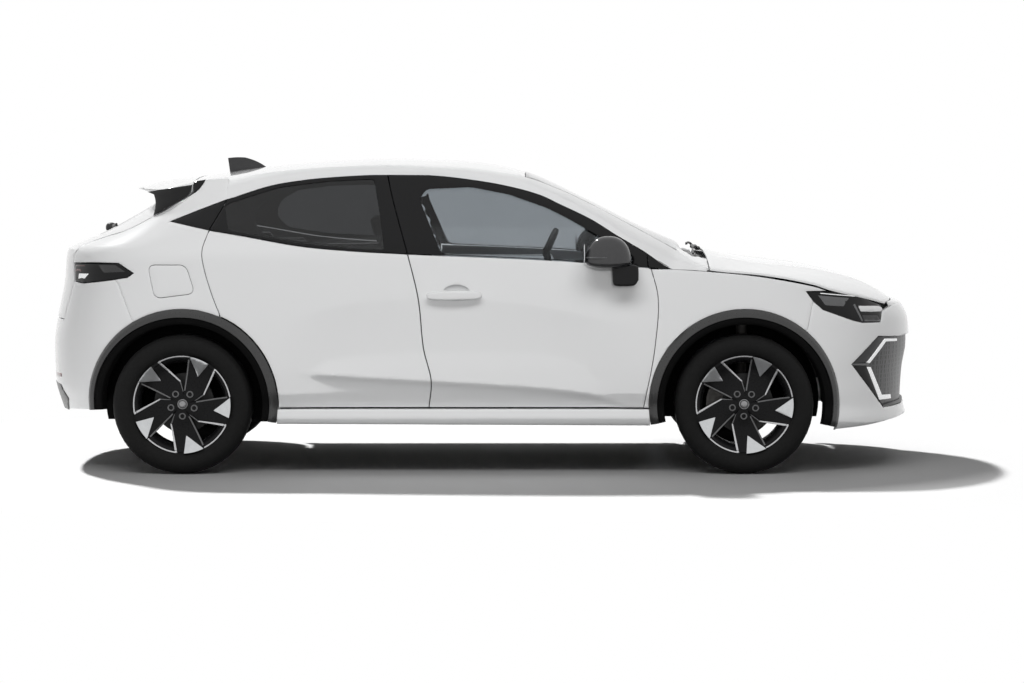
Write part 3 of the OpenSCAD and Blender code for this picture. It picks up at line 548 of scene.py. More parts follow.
line = np.vstack([run((-1354, 1328), (-1358, 1296)),
                 run((-1358, 1296), (-1370, 1280), (-1419, 1250), (-1531, 1187)),
                 run((-1531, 1187), (-1526, 1220), (-1527, 1254), (-1538, 1284)),
                 run((-1538, 1284), (-1575, 1296)), run((-1575, 1296), (-1354, 1330))])
m = panelMesh(ccw(line), surf=fin, depth=-7, thick=6.6, lip=2)
place(meshObject("spoilerBlades", *joined(m, mirrored(*m)), gloss), "tail_door", "spoiler_blades")
line = np.vstack([run((-1292, 1354), (-1325, 1305), (-1347, 1289)), run((-1347, 1289), (-1350, 1345)),
                 run((-1350, 1345), (-1292, 1354))])
m = panelMesh(along(ccw(line)), depth=0.5, thick=10, lip=1)
place(meshObject("roofCorners", *joined(m, mirrored(*m)), gloss), "body", ())

# spoiler: a shelf whose top falls to its sides, with a rounded trailing edge
x = np.concatenate([np.linspace(-1352, -1630, 18), -1630 - 32 * np.sin(np.linspace(0.2, 1, 7) * pi / 2)])[:,
        None]
v = np.linspace(1, -1, 41)[None]
spoiler = {"wide": [[-1662, 496], [-1510, 548], [-1352, 546]],
           "high": [[-1662, 1310], [-1630, 1321], [-1510, 1348], [-1352, 1367]],
           "low": [[-1662, 1307], [-1640, 1301], [-1560, 1299], [-1352, 1331]], "sweep": 0.22}
wide, high, low = [ease(spoiler[key])(x) for key in ("wide", "high", "low")]
drop = (high - low - 9) * np.abs(v) ** 2.4
one = np.ones_like(v)
x = -1352 + (x + 1352) * (1 - spoiler["sweep"] * v ** 2)
a = np.stack([x * one, wide * v, high * one - drop], -1)
b = np.stack([x * one, wide * v, low * one], -1)
b[-1, :, 2] = a[-1, :, 2] - 5
place(meshObject("spoilerShelf", *gridMesh(a, b), paint, 55), "tail_door", "spoiler")

# roof, hood and windscreen: parts of the top surface inside plan outlines
x = np.linspace(-1346, 199, 60)
y = topHalf(x) - 1.5
line = np.vstack([np.stack([x, -y], -1), np.stack([x, y], -1)[::-1]])
place(meshObject("roof", *panelMesh(dense(line, 30), surf=top, thick=13, step=40, lip=1.5), paint), "body",
      "roof_panel")
x = np.linspace(203, 926, 50)
y = topHalf(x) - 3
line = np.vstack([np.stack([x, -y], -1), np.stack([x, y], -1)[::-1]])
place(meshObject("screen", *panelMesh(dense(line, 30), surf=top, thick=5, step=40, lip=1), clearGlass),
      "body", "windscreen")
x = np.linspace(928, 1042, 14)
y = topHalf(x) * 0.8
line = np.vstack([np.stack([x, -y], -1), np.stack([x, y], -1)[::-1]])
place(meshObject("scuttlePanel", *panelMesh(dense(line, 30), surf=top, depth=34, thick=8, step=30, lip=2),
      clad), "body", "scuttle")
x = np.linspace(900, 1041, 16)  # pillar feet, painted, between screen, fender and hood
y = np.minimum(topHalf(x) - 1.5, 848)
line = np.vstack([np.stack([x, -y], -1), np.stack([x, -y * 0.79], -1)[::-1]])
m = panelMesh(dense(line, 24), surf=top, depth=-1, thick=10, step=24, lip=2)
place(meshObject("pillarFeet", *joined(m, mirrored(*m)), paint), "body", ())


# the top surface with two raised folds that run from the screen's corners to the nose
def hoodTop(x, y, d=0.0):
    p = top(x, y, d)
    fold = 560 - 300 * ramp((np.asarray(x, float) - 1050) / 1000)
    p[..., 2] += 7 * np.exp(-((np.abs(y) - fold) / 60) ** 2) * ramp((np.asarray(x,
            float) - 1045) / 160) * ramp((1950 - np.asarray(x, float)) / 200)
    return p


x = np.linspace(1046, 1885, 60)
y = topHalf(x) - 1.5
nose = run((1890, topHalf(1885.0) - 24), (1898, 500), (1922, 410), (1944, 250), (1955, 0), (1944, -250),
           (1922, -410), (1898, -500), (1890, 24 - topHalf(1885.0)), step=20)
line = np.vstack([np.stack([x, -y], -1), nose[::-1], np.stack([x, y], -1)[::-1]])
place(meshObject("hoodPanel", *panelMesh(dense(line, 24), surf=hoodTop, thick=9, step=30, lip=3), paint),
      "bonnet", "hood")

# nose bridge: the bumper's top, from the hood's front edge out to the nose
y = np.linspace(-505, 505, 61)
q = nose[np.argsort(nose[:, 1])]
xIn = np.interp(y, q[:, 1], q[:, 0]) + 5
xOut = np.maximum(1250 + 757 * (1 - (np.abs(y) / 866) ** 2.2) ** (1 / 2.6), xIn + 1.5)
t = np.linspace(0, 1, 9)[:, None]
x = xIn + (xOut - xIn) * t
zIn = hoodTop(xIn, y)[:, 2] - 1.5
z = zIn + (767.5 - zIn) * t ** 1.6
m = np.stack([x, y + 0 * x, z], -1)
place(meshObject("noseBridge", *gridMesh(m, m - [0, 0, 7]), paint, 50), "body", ())

# rails: from the screen pillars over the doors to the rear corners, bowed between window top and roof edge
pairs = [(1034, 936, 1036), (985, 940, 1000), (930, 943, 948), (879, 945, 895), (779, 1004, 850),
         (751, 1024, 809), (620, 1101, 690), (499, 1176, 580), (361, 1242, 476), (268, 1285, 360),
         (120, 1325, 200), (-30, 1352, 60), (-254, 1375, -150), (-411, 1376, -350), (-503, 1376, -503),
         (-720, 1364, -720), (-943, 1336, -943), (-1188, 1263, -1188)]
k = np.arange(len(pairs))
u = np.linspace(0, len(pairs) - 1, 120)
lowX, lowZ, edgeX = [ease(np.stack([k, np.array(pairs)[:, j]], -1))(u) for j in range(3)]
t = np.linspace(1, 0, 10)[None]
inner = np.stack([edgeX, topHalf(edgeX), topEdge(edgeX)], -1)[:, None]
outer = np.stack([lowX, half(lowX, lowZ), lowZ], -1)[:, None]
p = inner + (outer - inner) * t[..., None]
bow = 10 * np.sin(pi * t) * ramp(np.linalg.norm(outer - inner, axis=-1) / 130)
a = np.stack([p[..., 0], -(p[..., 1] + bow), p[..., 2] + 0.8 * bow], -1)
thin = ramp(np.linalg.norm(outer - inner, axis=-1) / 60)
b = a + np.stack([0 * bow, 24 * np.sin(pi / 2 * t) * thin, -13 * np.cos(pi / 2 * t) * thin - 1], -1)
m = gridMesh(a[::-1], b[::-1])
place(meshObject("rails", *joined(m, mirrored(*m)), paint, 60), "body", "roof_rails")
print("stage 3: roof, hood, screen, rails and spoiler")

lens = finish("lampLens", (0.085, 0.087, 0.09), (0.12, 0.122, 0.126), (0.12, 0.22), 90, (500, 0.15, 0.0006),
              coat=0.5)
redLens = finish("redLens", (0.10, 0.003, 0.004), (0.16, 0.005, 0.006), (0.08, 0.15), 120,
                 (420, 0.2, 0.0006), coat=0.6)
satinBlack = finish("satinBlack", (0.018, 0.018, 0.019), (0.028, 0.028, 0.029), (0.34, 0.46), 60,
                    (800, 0.15, 0.0005))
glow = finish("lightGuide", (0.86, 0.87, 0.88), (0.93, 0.94, 0.95), (0.15, 0.25), 200, (600, 0.1, 0.0004),
              coat=0.4)
glow.node_tree.nodes["Principled BSDF"].inputs["Emission Color"].default_value = (1, 1, 1, 1)
glow.node_tree.nodes["Principled BSDF"].inputs["Emission Strength"].default_value = 0.35


# the same panel on both sides of the body, as one piece
def twin(name, line, material, node=(), slot=None, **k):
    m = panelMesh(along(ccw(np.asarray(line))), **k)
    return place(meshObject(name, *joined(m, mirrored(*m)), material), "body", node)


def twins(table):
    for name, (line, material, slot, depth, thick, lip) in table.items():
        twin(name, line, material, (), slot, depth=depth, thick=thick, lip=lip)


def blade(a, b, wa, wb):  # four-sided strip between two points
    a, b = np.array(a, float), np.array(b, float)
    n = np.array([a[1] - b[1], b[0] - a[0]]) / np.hypot(*(b - a)) / 2
    return dense(np.vstack([a + n * wa, b + n * wb, b - n * wb, a - n * wa]))


headLine = np.vstack([run(*lampLine), run((1872, 740), (1872, 766)), run(*lampTop[::-1]),
                     run((1491, 841), (1524, 798))])
twin("headlampShell", shut(headLine, 2), gloss, "headlamps", "gloss_black", depth=2.5, thick=36, lip=4)
# outline, finish, slot, depth, thickness and edge radius
headlamp = {"headlampLens": (rounded([(1547, 824), (1700, 808), (1672, 770), (1584, 777)], 6), lens,
            "lamp_clear", 1.4, 4, 2), "headlampLow": (rounded([(1762, 727), (1844, 722), (1858, 695),
            (1772, 698)], 5), satinBlack, "gloss_black", 1.2, 4, 2),
            "headlampBar": (blade((1776, 702), (1858, 698), 7, 7), lens, "lamp_clear", 0.4, 4, 1.5),
            "headlampFin": (blade((1724, 778), (1764, 700), 10, 8), lens, "lamp_clear", 0.8, 4, 1.5),
            "headlampGuide": (blade((1560, 833), (1730, 815), 4, 4), glow, "lamp_clear", 1, 3, 1)}
twins(headlamp)
twin("eyebrow", rounded([(1745, 770), (1800, 768), (1856, 764), (1871, 754), (1871, 742), (1858, 738),
     (1756, 743)], 8), paint, (), "white_paint", depth=-1, thick=8, lip=3)

tailLamp = rounded([(-1908, 964), (-1675, 970), (-1604, 926), (-1632, 907), (-1690, 898), (-1800, 884),
                   (-1853, 876), (-1900, 882)], 7)
twin("tailLampShell", tailLamp, gloss, "tail_lamps", "gloss_black", depth=0, thick=34, lip=4)
smoked = finish("smokedLens", (0.012, 0.012, 0.013), (0.02, 0.02, 0.021), (0.08, 0.16), 90,
                (500, 0.15, 0.0006), coat=0.3)
tailBits = {"tailLampPanel": (rounded([(-1775, 962), (-1690, 963), (-1640, 932), (-1745, 926)], 6), smoked,
            "lamp_clear", -1, 4, 2), "tailLampRed": (rounded([(-1900, 938), (-1868, 939), (-1864, 926),
            (-1898, 925)], 4), redLens, "lamp_red", -1.2, 4, 2),
            "tailLampRedLow": (blade((-1896, 953), (-1846, 955), 5, 4), redLens, "lamp_red", -1, 4, 2),
            "tailLampClear": (rounded([(-1878, 918), (-1822, 920), (-1846, 896), (-1880, 893)], 4), glow,
            "lamp_clear", -1.3, 4, 1.5)}
twins(tailBits)

# mouth: a set-back grille with a fine lattice, two flank wedges and the light guides
m = panelMesh(shut(dense(mouthLine), 0.5), depth=16, thick=8, step=40, lip=1)
lattice, nt, p, tc = nodeTree("grilleLattice")
cells = nt.nodes.new("ShaderNodeTexVoronoi")
cells.feature = "DISTANCE_TO_EDGE"
cells.inputs["Scale"].default_value = 46
cells.inputs["Randomness"].default_value = 0.0
nt.links.new(tc.outputs["Object"], cells.inputs["Vector"])
# the lattice is painted on a flat panel: thin lighter ribs, and the cells between them painted darker as
# painted shade for the grille's openings; the bump gives the ribs relief
nt.links.new(tint(nt, spread(nt, cells.outputs["Distance"], 0, 1, 0.06, 0.16), (0.045, 0.046, 0.048),
             (0.008, 0.008, 0.008)), p.inputs["Base Color"])
p.inputs["Roughness"].default_value = 0.35
bump(nt, cells.outputs["Distance"], p, 0.6, 0.004)
place(meshObject("grilleMesh", *m, lattice), "body", "grille")
mouthBits = {"mouthWedgeTop": (rounded([(1711, 503), (1846, 623), (1900, 620), (1884, 612), (1792, 510)],
             3), satinBlack, "gloss_black", 3, 10, 2), "mouthWedgeLow": (rounded([(1711, 499), (1786, 492),
             (1862, 330), (1880, 293)], 3), gloss, "gloss_black", 3, 10, 2),
             "mouthSplit": (blade((1715, 501), (1800, 497), 8, 12), lens, "gloss_black", 2, 6, 2)}
twins(mouthBits)
a = np.vstack([run((1788, 508), (1880, 612)), run((1880, 612), (1953, 606)), run((1953, 606), (1953, 594)),
              run((1953, 594), (1890, 598)), run((1890, 598), (1803, 502)), run((1803, 502), (1788, 508))])
b = np.vstack([run((1788, 486), (1858, 326)), run((1858, 326), (1926, 324)), run((1926, 324), (1922, 344)),
              run((1922, 344), (1872, 348)), run((1872, 348), (1809, 484)), run((1809, 484), (1788, 486))])
m, n = [panelMesh(along(ccw(q)), depth=1.5, thick=8, lip=2) for q in (a, b)]
place(meshObject("dayLamps", *joined(m, n, mirrored(*m), mirrored(*n)), glow), "body", "running_lamps")
q = centred(along([(2028, 306), (1940, 306), (1876, 300), (1880, 291), (2028, 291)]), noseEnd)
q = np.vstack([run(q[0], q[1], step=30), poly(*q[1:-1]), run(q[-2], q[-1], step=30), q[-1:]])
place(meshObject("mouthLip", *panelMesh(ccw(dense(wrapped(q, noseEnd))), depth=4, thick=12, lip=2),
      satinBlack), "body", ())


# band round a wheel arch: an outer slope that takes the light, then a flat dull face
def archBand(axle, profile, a0, a1):
    profile = np.array(profile)
    ang = np.radians(np.linspace(a0, a1, 90))
    x = axle[0] + np.cos(ang)[:, None] * profile[None, :, 0]
    z = axle[1] + np.sin(ang)[:, None] * profile[None, :, 0]
    s = along(np.stack([x.ravel(), z.ravel()], -1))
    p = skin(s[:, 0], s[:, 1], np.tile(profile[:, 1], len(ang)))
    n, m = x.shape
    k = np.arange(n * m).reshape(n, m)
    k2 = np.roll(k, -1, 1)
    faces = np.stack([k[:-1], k2[:-1], k2[1:], k[1:]], -1).reshape(-1, 4).tolist()
    return p, faces + [k[0, ::-1].tolist(), k[-1].tolist()]


arch = {"roll": [(441.5, 5), (441.5, -1), (439, -5), (424, -15.5), (420, -17), (404, -17), (402, -12),
        (402, 5)], "ledge": [(401.5, 22), (401.5, -11), (398, -12.5), (376, -10), (371, -5), (370, 22)],
        "frontSpan": (-14.2, 192.2), "rearSpan": (-11, 184.2), "house": 376, "houseLow": 236,
        "frontWall": -482, "rearWall": -632}
for name, shape, mat, node in (("archRolls", arch["roll"], clad, "arch_trims"),
                               ("archLedges", arch["ledge"], cladIn, ())):
    m, n = archBand(frontAxle, shape, *arch["frontSpan"]), archBand(rearAxle, shape, *arch["rearSpan"])
    place(meshObject(name, *joined(m, n, mirrored(*m), mirrored(*n)), mat), "body", node)


def wall(x, z, d=0.0):  # upright plane at y = 0, d measured inward
    return np.stack([np.asarray(x, float), np.asarray(d, float) + 0 * x, np.asarray(z, float)], -1)


# wheel housings: dark upright walls behind the wheels
t = np.linspace(0, 2 * pi, 40, endpoint=False)
eye = np.stack([rearAxle[0] + 62 * np.cos(t), rearAxle[1] + 62 * np.sin(t)], -1)
houses = []
for axle, y, holes in ((frontAxle, arch["frontWall"], []), (rearAxle, arch["rearWall"], [eye])):
    a = np.degrees(np.arcsin((arch["houseLow"] - axle[1]) / arch["house"]))
    m = panelMesh(ccw(dense(arc(axle, arch["house"], a, 180 - a, 60), 30)), holes, surf=wall, thick=4,
                  step=60, lip=1)
    houses += [(m[0] + [0, y, 0], m[1])]
place(meshObject("wheelHouses", *joined(*houses, *[mirrored(*m) for m in houses]), cladIn), "body", ())
print("stage 4: lamps, grille and arch bands")

# wheels: seen from outside with x to the right and z up, mirrored for the left side
tread = finish("tyreRubber", (0.008, 0.008, 0.008), (0.012, 0.012, 0.012), (0.55, 0.72), 60,
               (500, 0.3, 0.0008), spec=0.15)
darkAlloy = finish("darkAlloy", (0.005, 0.005, 0.0055), (0.008, 0.008, 0.0085), (0.24, 0.34), 70,
                   (600, 0.05, 0.0003), spec=0.14)
brightAlloy = finish("turnedAlloy", (0.46, 0.46, 0.47), (0.58, 0.58, 0.59), (0.22, 0.34), 140,
                     (900, 0.12, 0.0003), metal=0.85)
capAlloy = finish("capAlloy", (0.26, 0.26, 0.265), (0.33, 0.33, 0.335), (0.3, 0.4), 120, (900, 0.1, 0.0003),
                  metal=0.7)
greyAlloy = finish("greyAlloy", (0.12, 0.12, 0.122), (0.16, 0.16, 0.163), (0.3, 0.42), 110,
                   (900, 0.1, 0.0003), metal=0.5)
discSteel = finish("discSteel", (0.025, 0.025, 0.025), (0.05, 0.05, 0.05), (0.4, 0.55), 90,
                   (700, 0.3, 0.0004), metal=0.6)


def turned(profile, n=64):  # closed profile of radius and outward distance turned about the wheel's axis
    p = np.array(profile, float)
    a = np.linspace(0, 2 * pi, n, endpoint=False)[:, None]
    v = np.stack([np.cos(a) * p[None, :, 0], -(p[:, 1] + 0 * a), np.sin(a) * p[None, :, 0]], -1)
    k = np.arange(n * len(p)).reshape(n, -1)
    k1, k2, k3 = np.roll(k, -1, 0), np.roll(np.roll(k, -1, 0), -1, 1), np.roll(k, -1, 1)
    return v.reshape(-1, 3), np.stack([k, k3, k2, k1], -1).reshape(-1, 4).tolist()


wheel = {"rim": 226.0, "turn": -0.44, "out": 762, "high": 321, "front": 1209, "rear": -1382, "lugs": 56}
rimR = wheel["rim"]
dish = ease([[0, 62], [40, 60], [110, 54], [160, 60], [200, 74], [226, 84]])


def face(x, z, d=0.0):  # wheel face: dished between hub and rim
    r = np.hypot(x, z)
    return np.stack([np.asarray(x, float), -(dish(r) - d), np.asarray(z, float)], -1)


def polar(*pts):
    p = np.array(pts, float)
    a = np.radians(p[:, 1])
    return np.stack([p[:, 0] * rimR * np.cos(a), p[:, 0] * rimR * np.sin(a)], -1)


def rimArc(r, a0, a1, n=10):
    return polar(*[(r, a) for a in np.linspace(a0, a1, n)])


def fiveTimes(m):
    v, f = m
    out = []
    for i in range(5):
        a = 0.4 * pi * i + wheel["turn"]
        c, s = np.cos(a), np.sin(a)
        out.append((np.stack([v[:, 0] * c - v[:, 2] * s, v[:, 1], v[:, 0] * s + v[:, 2] * c], -1), f))
    return joined(*out)


# leans out toward the rim, so that the low ones take the sky and the high ones the floor
def facet(x, z, d=0.0):
    p = face(x, z, d)
    p[..., 1] -= np.clip(np.hypot(x, z) - 0.63 * rimR, 0, None) * 0.17 + 2.4
    return p


def flat(line, d, thick, lip, step=14, surf=face):
    return panelMesh(ccw(dense(line, 7)), surf=surf, depth=d, thick=thick, step=step, lip=lip)


facetAlloy = finish("machinedFacet", (0.50, 0.51, 0.52), (0.60, 0.61, 0.62), (0.16, 0.24), 40,
                    (900, 0.05, 0.0003), metal=1)
# one fifth: dark spoke, turned corner, bright leading edge, grey trailing edge, rim lip
spoke = np.vstack([rimArc(0.955, 0, 34), polar((0.27, 35)), polar((0.12, 36)), polar((0.12, -36)),
                  polar((0.25, -33), (0.478, -23.3))])
insert = np.vstack([rimArc(0.995, 9.5, 33.7), polar((0.64, 13.5))])
lead = np.vstack([polar((0.99, 1.2), (0.478, -20.0), (0.46, -23.3), (0.478, -24.6), (0.99, -1.6))])
leadIn = np.vstack([polar((0.47, -21.5), (0.26, -30), (0.25, -34), (0.468, -24.4))])
trail = np.vstack([polar((0.95, 35.2), (0.28, 37), (0.28, 31.5), (0.95, 33.3))])
parts = {"Dark": (fiveTimes(flat(spoke, 3, 20, 3)), darkAlloy),
         "Insert": (fiveTimes(flat(insert, 1.2, 6, 1.2, surf=facet)), facetAlloy),
         "Lead": (fiveTimes(flat(lead, 0.6, 8, 1.4)), brightAlloy),
         "Trail": (fiveTimes(joined(flat(trail, 2, 8, 1), flat(leadIn, 2, 8, 1))), greyAlloy)}
lip = np.vstack([rimArc(0.998, 34, 72, 14), rimArc(0.97, 72, 34, 14)])
parts["Lip"] = (fiveTimes(flat(lip, 0.3, 6, 1)), brightAlloy)
barrel = turned([(225, 79), (222, 80), (214, 79), (206, 72), (196, 60), (192, 40), (192, -60), (204, -86),
                (226, -86), (226, -78), (213, -76), (213, -50), (202, -40), (202, 40), (213, 50), (213, 76),
                (224, 78)], 72)
hub = turned([(16, 57), (36, 57), (40, 54), (58, 50), (62, 46), (62, 0), (40, -30), (40, -42), (16, -42)],
             48)
parts["Barrel"] = (joined(barrel, hub), darkAlloy)
cap = turned([(0.1, 66), (11, 65.6), (15, 64), (17, 61), (17, 50), (0.1, 50)], 32)
parts["Cap"] = (joined(cap, turned([(19, 60), (21, 61), (23, 60), (23, 52), (19, 52)], 40)), capAlloy)
nut = turned([(0.1, 50), (7, 50), (9, 47), (9, 40), (0.1, 40)], 12)
ring = turned([(10, 56.5), (13, 58), (16, 56.5), (16, 48), (10, 48)], 20)
a = np.radians(6)
lugs = joined(*[(v + [wheel["lugs"] * np.cos(a), 0, wheel["lugs"] * np.sin(a)], f) for v, f in (nut, ring)])
parts["Lugs"] = (fiveTimes(lugs), greyAlloy)
parts["Disc"] = (joined(turned([(72, -19), (138, -19), (140, -21), (140, -35), (138, -37), (72, -37)], 64),
                        turned([(30, -10), (72, -12), (74, -16), (74, -40), (30, -40)], 40)), discSteel)
tyreShape = [(214, 78), (228, 80), (234, 90), (262, 101), (286, 102), (303, 96), (313, 86), (319, 70),
             (321, 40), (321, -40), (319, -70), (313, -86), (286, -102), (262, -101), (234, -90),
             (228, -80), (214, -78)]
tyre = turned(tyreShape[::-1], 44)
for end, cx in (("Front", wheel["front"]), ("Rear", wheel["rear"])):
    for sideName, flipY in (("Right", 1), ("Left", -1)):
        low = (end + "_" + sideName).lower()
        body = low + "_wheel"
        move = np.array([cx, -wheel["out"], wheel["high"]])
        put = lambda m: (m[0] + move, m[1]) if flipY > 0 else mirrored(m[0] + move, m[1])
        for name, (m, mat) in parts.items():
            ob = meshObject("rim" + name + end + sideName, *put(m), mat, 35)
            place(ob, body, ("rim_" + low) if name == "Barrel" else ())
        place(meshObject("tyre" + end + sideName, *put(tyre), tread, 50), body, "tyre_" + low)
print("stage 5: wheels")


# closed rounded body: an ellipsoid with squarer sides for a higher power
def egg(centre, radii, power=2.0, n=40, m=24):
    th, ph = np.meshgrid(np.linspace(0, 2 * pi, n, endpoint=False), np.linspace(-pi / 2, pi / 2, m)[1:-1],
                         indexing="ij")
    bend = lambda v: np.sign(v) * np.abs(v) ** (2 / power)
    p = np.stack([bend(np.cos(ph)) * bend(np.cos(th)), bend(np.cos(ph)) * bend(np.sin(th)),
                 bend(np.sin(ph))], -1)
    v = np.vstack([p.reshape(-1, 3), [(0, 0, -1), (0, 0, 1)]]) * radii + centre
    k = np.arange(n * (m - 2)).reshape(n, m - 2)
    j = np.roll(k, -1, 0)
    faces = np.stack([k[:, :-1], j[:, :-1], j[:, 1:], k[:, 1:]], -1).reshape(-1, 4).tolist()
    lo, hi = n * (m - 2), n * (m - 2) + 1
    return v, faces + np.stack([j[:, 0], k[:, 0], np.full(n, lo)],
                               -1).tolist() + np.stack([k[:, -1], j[:, -1], np.full(n, hi)], -1).tolist()


def bent(m, f):
    return f(m[0].copy()), m[1]


def mirrorShape(v):  # domed top over a flat underside, drawn in toward the nose
    x, y, z = v.T
    z[:] = np.where(z < 992, 992 - (992 - z) * 0.40, z)
    x[:] += np.where(z > 992, (z - 992) * 0.10 * np.sign(577 - x) * np.abs(x - 577) / 108, 0)
    y[:] += (x - 470) * 0.10
    return np.stack([x, y, z], -1)


mirror = {"at": (577, -950, 992), "shell": (107, 62, 108), "foot": (62, 40, 50), "footAt": (656, -914, 920),
          "pane": (4, 48, 46), "paneAt": (467.5, -953, 1018)}
shell = bent(egg(mirror["at"], mirror["shell"], 2.35, 60, 40), mirrorShape)
band = bent(egg((536, -957, 1003), (68, 59, 7), 2.6, 40, 12), mirrorShape)
base = egg(mirror["footAt"], mirror["foot"], 6.0, 48, 30)
x, y, z = base[0].T
x += (920 - z) * 0.05
x[:] = np.where(x < 656, 656 + (x - 656) * 0.98, x + np.where(z < 905, (z - 905) * 0.5, 0))
pane = egg(mirror["paneAt"], mirror["pane"], 3, 32, 16)
silver = finish("mirrorGlass", (0.62, 0.63, 0.64), (0.68, 0.69, 0.70), (0.01, 0.03), 20, metal=1)
mirrorGrey = finish("mirrorCap", (0.020, 0.020, 0.022), (0.030, 0.030, 0.032), (0.10, 0.18), 60,
                    (300, 0.02, 0.0003), coat=0.5)
for sideName, body, k in zip(("Right", "Left"), frontDoors, (0, 1)):
    turn = (lambda m: m) if k == 0 else (lambda m: mirrored(*m))
    place(meshObject("mirrorShell" + sideName, *turn(shell), mirrorGrey, 60), body, pair("mirror")[k])
    place(meshObject("mirrorFoot" + sideName, *turn(base), gloss, 40), body, ())
    place(meshObject("mirrorSignal" + sideName, *turn(band), lens, 60), body, ())
    place(meshObject("mirrorPane" + sideName, *turn(pane), silver, 60), body, ())

# door handles: a bar on two feet over a shallow bowl that is let into the door
handle = {"at": (-127, -885, 826), "bar": (128, 11, 22), "foot": (24, 14, 15), "cup": (62, 38)}
bar = bent(egg(handle["at"], handle["bar"], 3.2, 56, 20),
           lambda v: np.stack([v[:, 0], v[:, 1] + 0.0003 * (v[:, 0] + 127) ** 2,
           v[:, 2] + 0.01 * v[:, 0] + 1], -1))
feet = joined(*[egg((x, -872, 826), handle["foot"], 2.4, 24, 14) for x in (-222, -30)])


def bowl(s, z, d=0.0):  # the skin let in by an ellipse whose depth falls off from its centre
    r = ((np.asarray(s) + 117) / 64) ** 2 + ((np.asarray(z) - 838) / 40) ** 2
    return skin(s, z, np.asarray(d) + 0.6 + 15 * np.clip(1 - r, 0, 1) ** 0.7)


t = np.linspace(0, 2 * pi, 48, endpoint=False)
cup = np.stack([-117 + handle["cup"][0] * np.cos(t), 838 + handle["cup"][1] * np.sin(t)], -1)
m = panelMesh(cup, surf=bowl, thick=3, step=8, lip=0.5)
for sideName, body, k in zip(("Right", "Left"), frontDoors, (0, 1)):
    turn = (lambda q: q) if k == 0 else (lambda q: mirrored(*q))
    place(meshObject("handle" + sideName, *turn(joined(bar, feet)), paint, 60), body, ())
    place(meshObject("handleBowl" + sideName, *turn(m), paint, 60), body, ())

# roof fin: blunt at its back edge, drawn out to a point ahead
u, w = np.meshgrid(np.linspace(0, 1, 26), np.linspace(0, 2 * pi, 28, endpoint=False), indexing="ij")
c, s = np.cos(w), np.sin(w)
up = np.clip(s, 0, 1) ** 0.8
x = -1056 - 172 * u - 12 * up * u ** 6
finShape = {"ridge": [[0, 1411], [0.1, 1422], [0.25, 1436], [0.45, 1449], [0.62, 1456], [0.8, 1456.5],
            [1, 1453]], "thick": [[0, 1], [0.15, 12], [0.5, 22], [0.85, 24], [1, 20]]}
ridge = ease(finShape["ridge"])(u)
base = topMid(x) - 4
thick = ease(finShape["thick"])(u)
v = np.stack([x, thick * c * (1 - 0.8 * up), base + (ridge - base) * up + np.where(s < 0, 5 * s, 0)], -1)
k = np.arange(u.size).reshape(u.shape)
j = np.roll(k, -1, 1)
f = np.stack([k[:-1], k[1:], j[1:], j[:-1]], -1).reshape(-1, 4).tolist() + [k[0].tolist(),
        k[-1, ::-1].tolist()]
place(meshObject("roofFin", v.reshape(-1, 3), [t[::-1] for t in f], satinBlack, 50), "body", "antenna")


def bladeArm(points, radius, n=10):  # tube along a smooth line of points
    p = np.array(points, float)
    k = np.linspace(0, len(p) - 1, 40)
    c = np.stack([ease(np.stack([np.arange(len(p)), p[:, j]], -1))(k) for j in range(3)], -1)
    d = np.gradient(c, axis=0)
    d /= np.linalg.norm(d, axis=1)[:, None]
    a = np.cross(d, [0, 0, 1.0])
    a /= np.linalg.norm(a, axis=1)[:, None]
    b = np.cross(a, d)
    t = np.linspace(0, 2 * pi, n, endpoint=False)
    r = np.asarray(radius) * np.ones(len(c))
    v = c[:, None] + r[:, None, None] * (a[:, None] * np.cos(t)[None, :, None] + b[:,
                                         None] * np.sin(t)[None, :, None])
    q = np.arange(v.shape[0] * n).reshape(-1, n)
    e = np.roll(q, -1, 1)
    f = np.stack([q[:-1], e[:-1], e[1:], q[1:]], -1).reshape(-1, 4).tolist() + [q[0, ::-1].tolist(),
            q[-1].tolist()]
    return v.reshape(-1, 3), [i[::-1] for i in f]


wipe = []
for v0, v1 in ((0.60, -0.06), (-0.10, -0.78)):
    v = np.linspace(v0, v1, 7)
    wipe.append(bladeArm(top(np.linspace(1008, 985, 7), v * topHalf(915.0), -5.0), 4.5))
    mid, foot = (v0 + v1) / 2, v0 + (v1 - v0) * 0.05
    wipe.append(bladeArm(top(np.linspace(1036, 995, 5), np.linspace(foot * 0.7, mid, 5) * topHalf(960.0),
                np.array([6, -4, -10, -10, -7])), np.linspace(7, 4, 40)))
    wipe.append(egg(top(1034.0, foot * 0.7 * topHalf(960.0), 4.0), (14, 12, 10), 2.4, 20, 12))
place(meshObject("screenWipers", *joined(*wipe), satinBlack, 50), "body", "wipers")
s = alongRear(np.array([0, 90, 180, 270.0]), np.array([1120, 1124, 1130, 1138.0]))
arm = bladeArm(skin(s[:, 0], s[:, 1], -9.0), np.linspace(9, 6, 40))
p0 = skin(np.array([tailEnd]), np.array([1112.0]), -4.0)[0]
place(meshObject("rearWiper", *joined(arm, egg(p0 + [-4, 0, 4], (26, 24, 24), 2.4, 28, 18)), satinBlack,
      50), "tail_door", "rear_wiper")

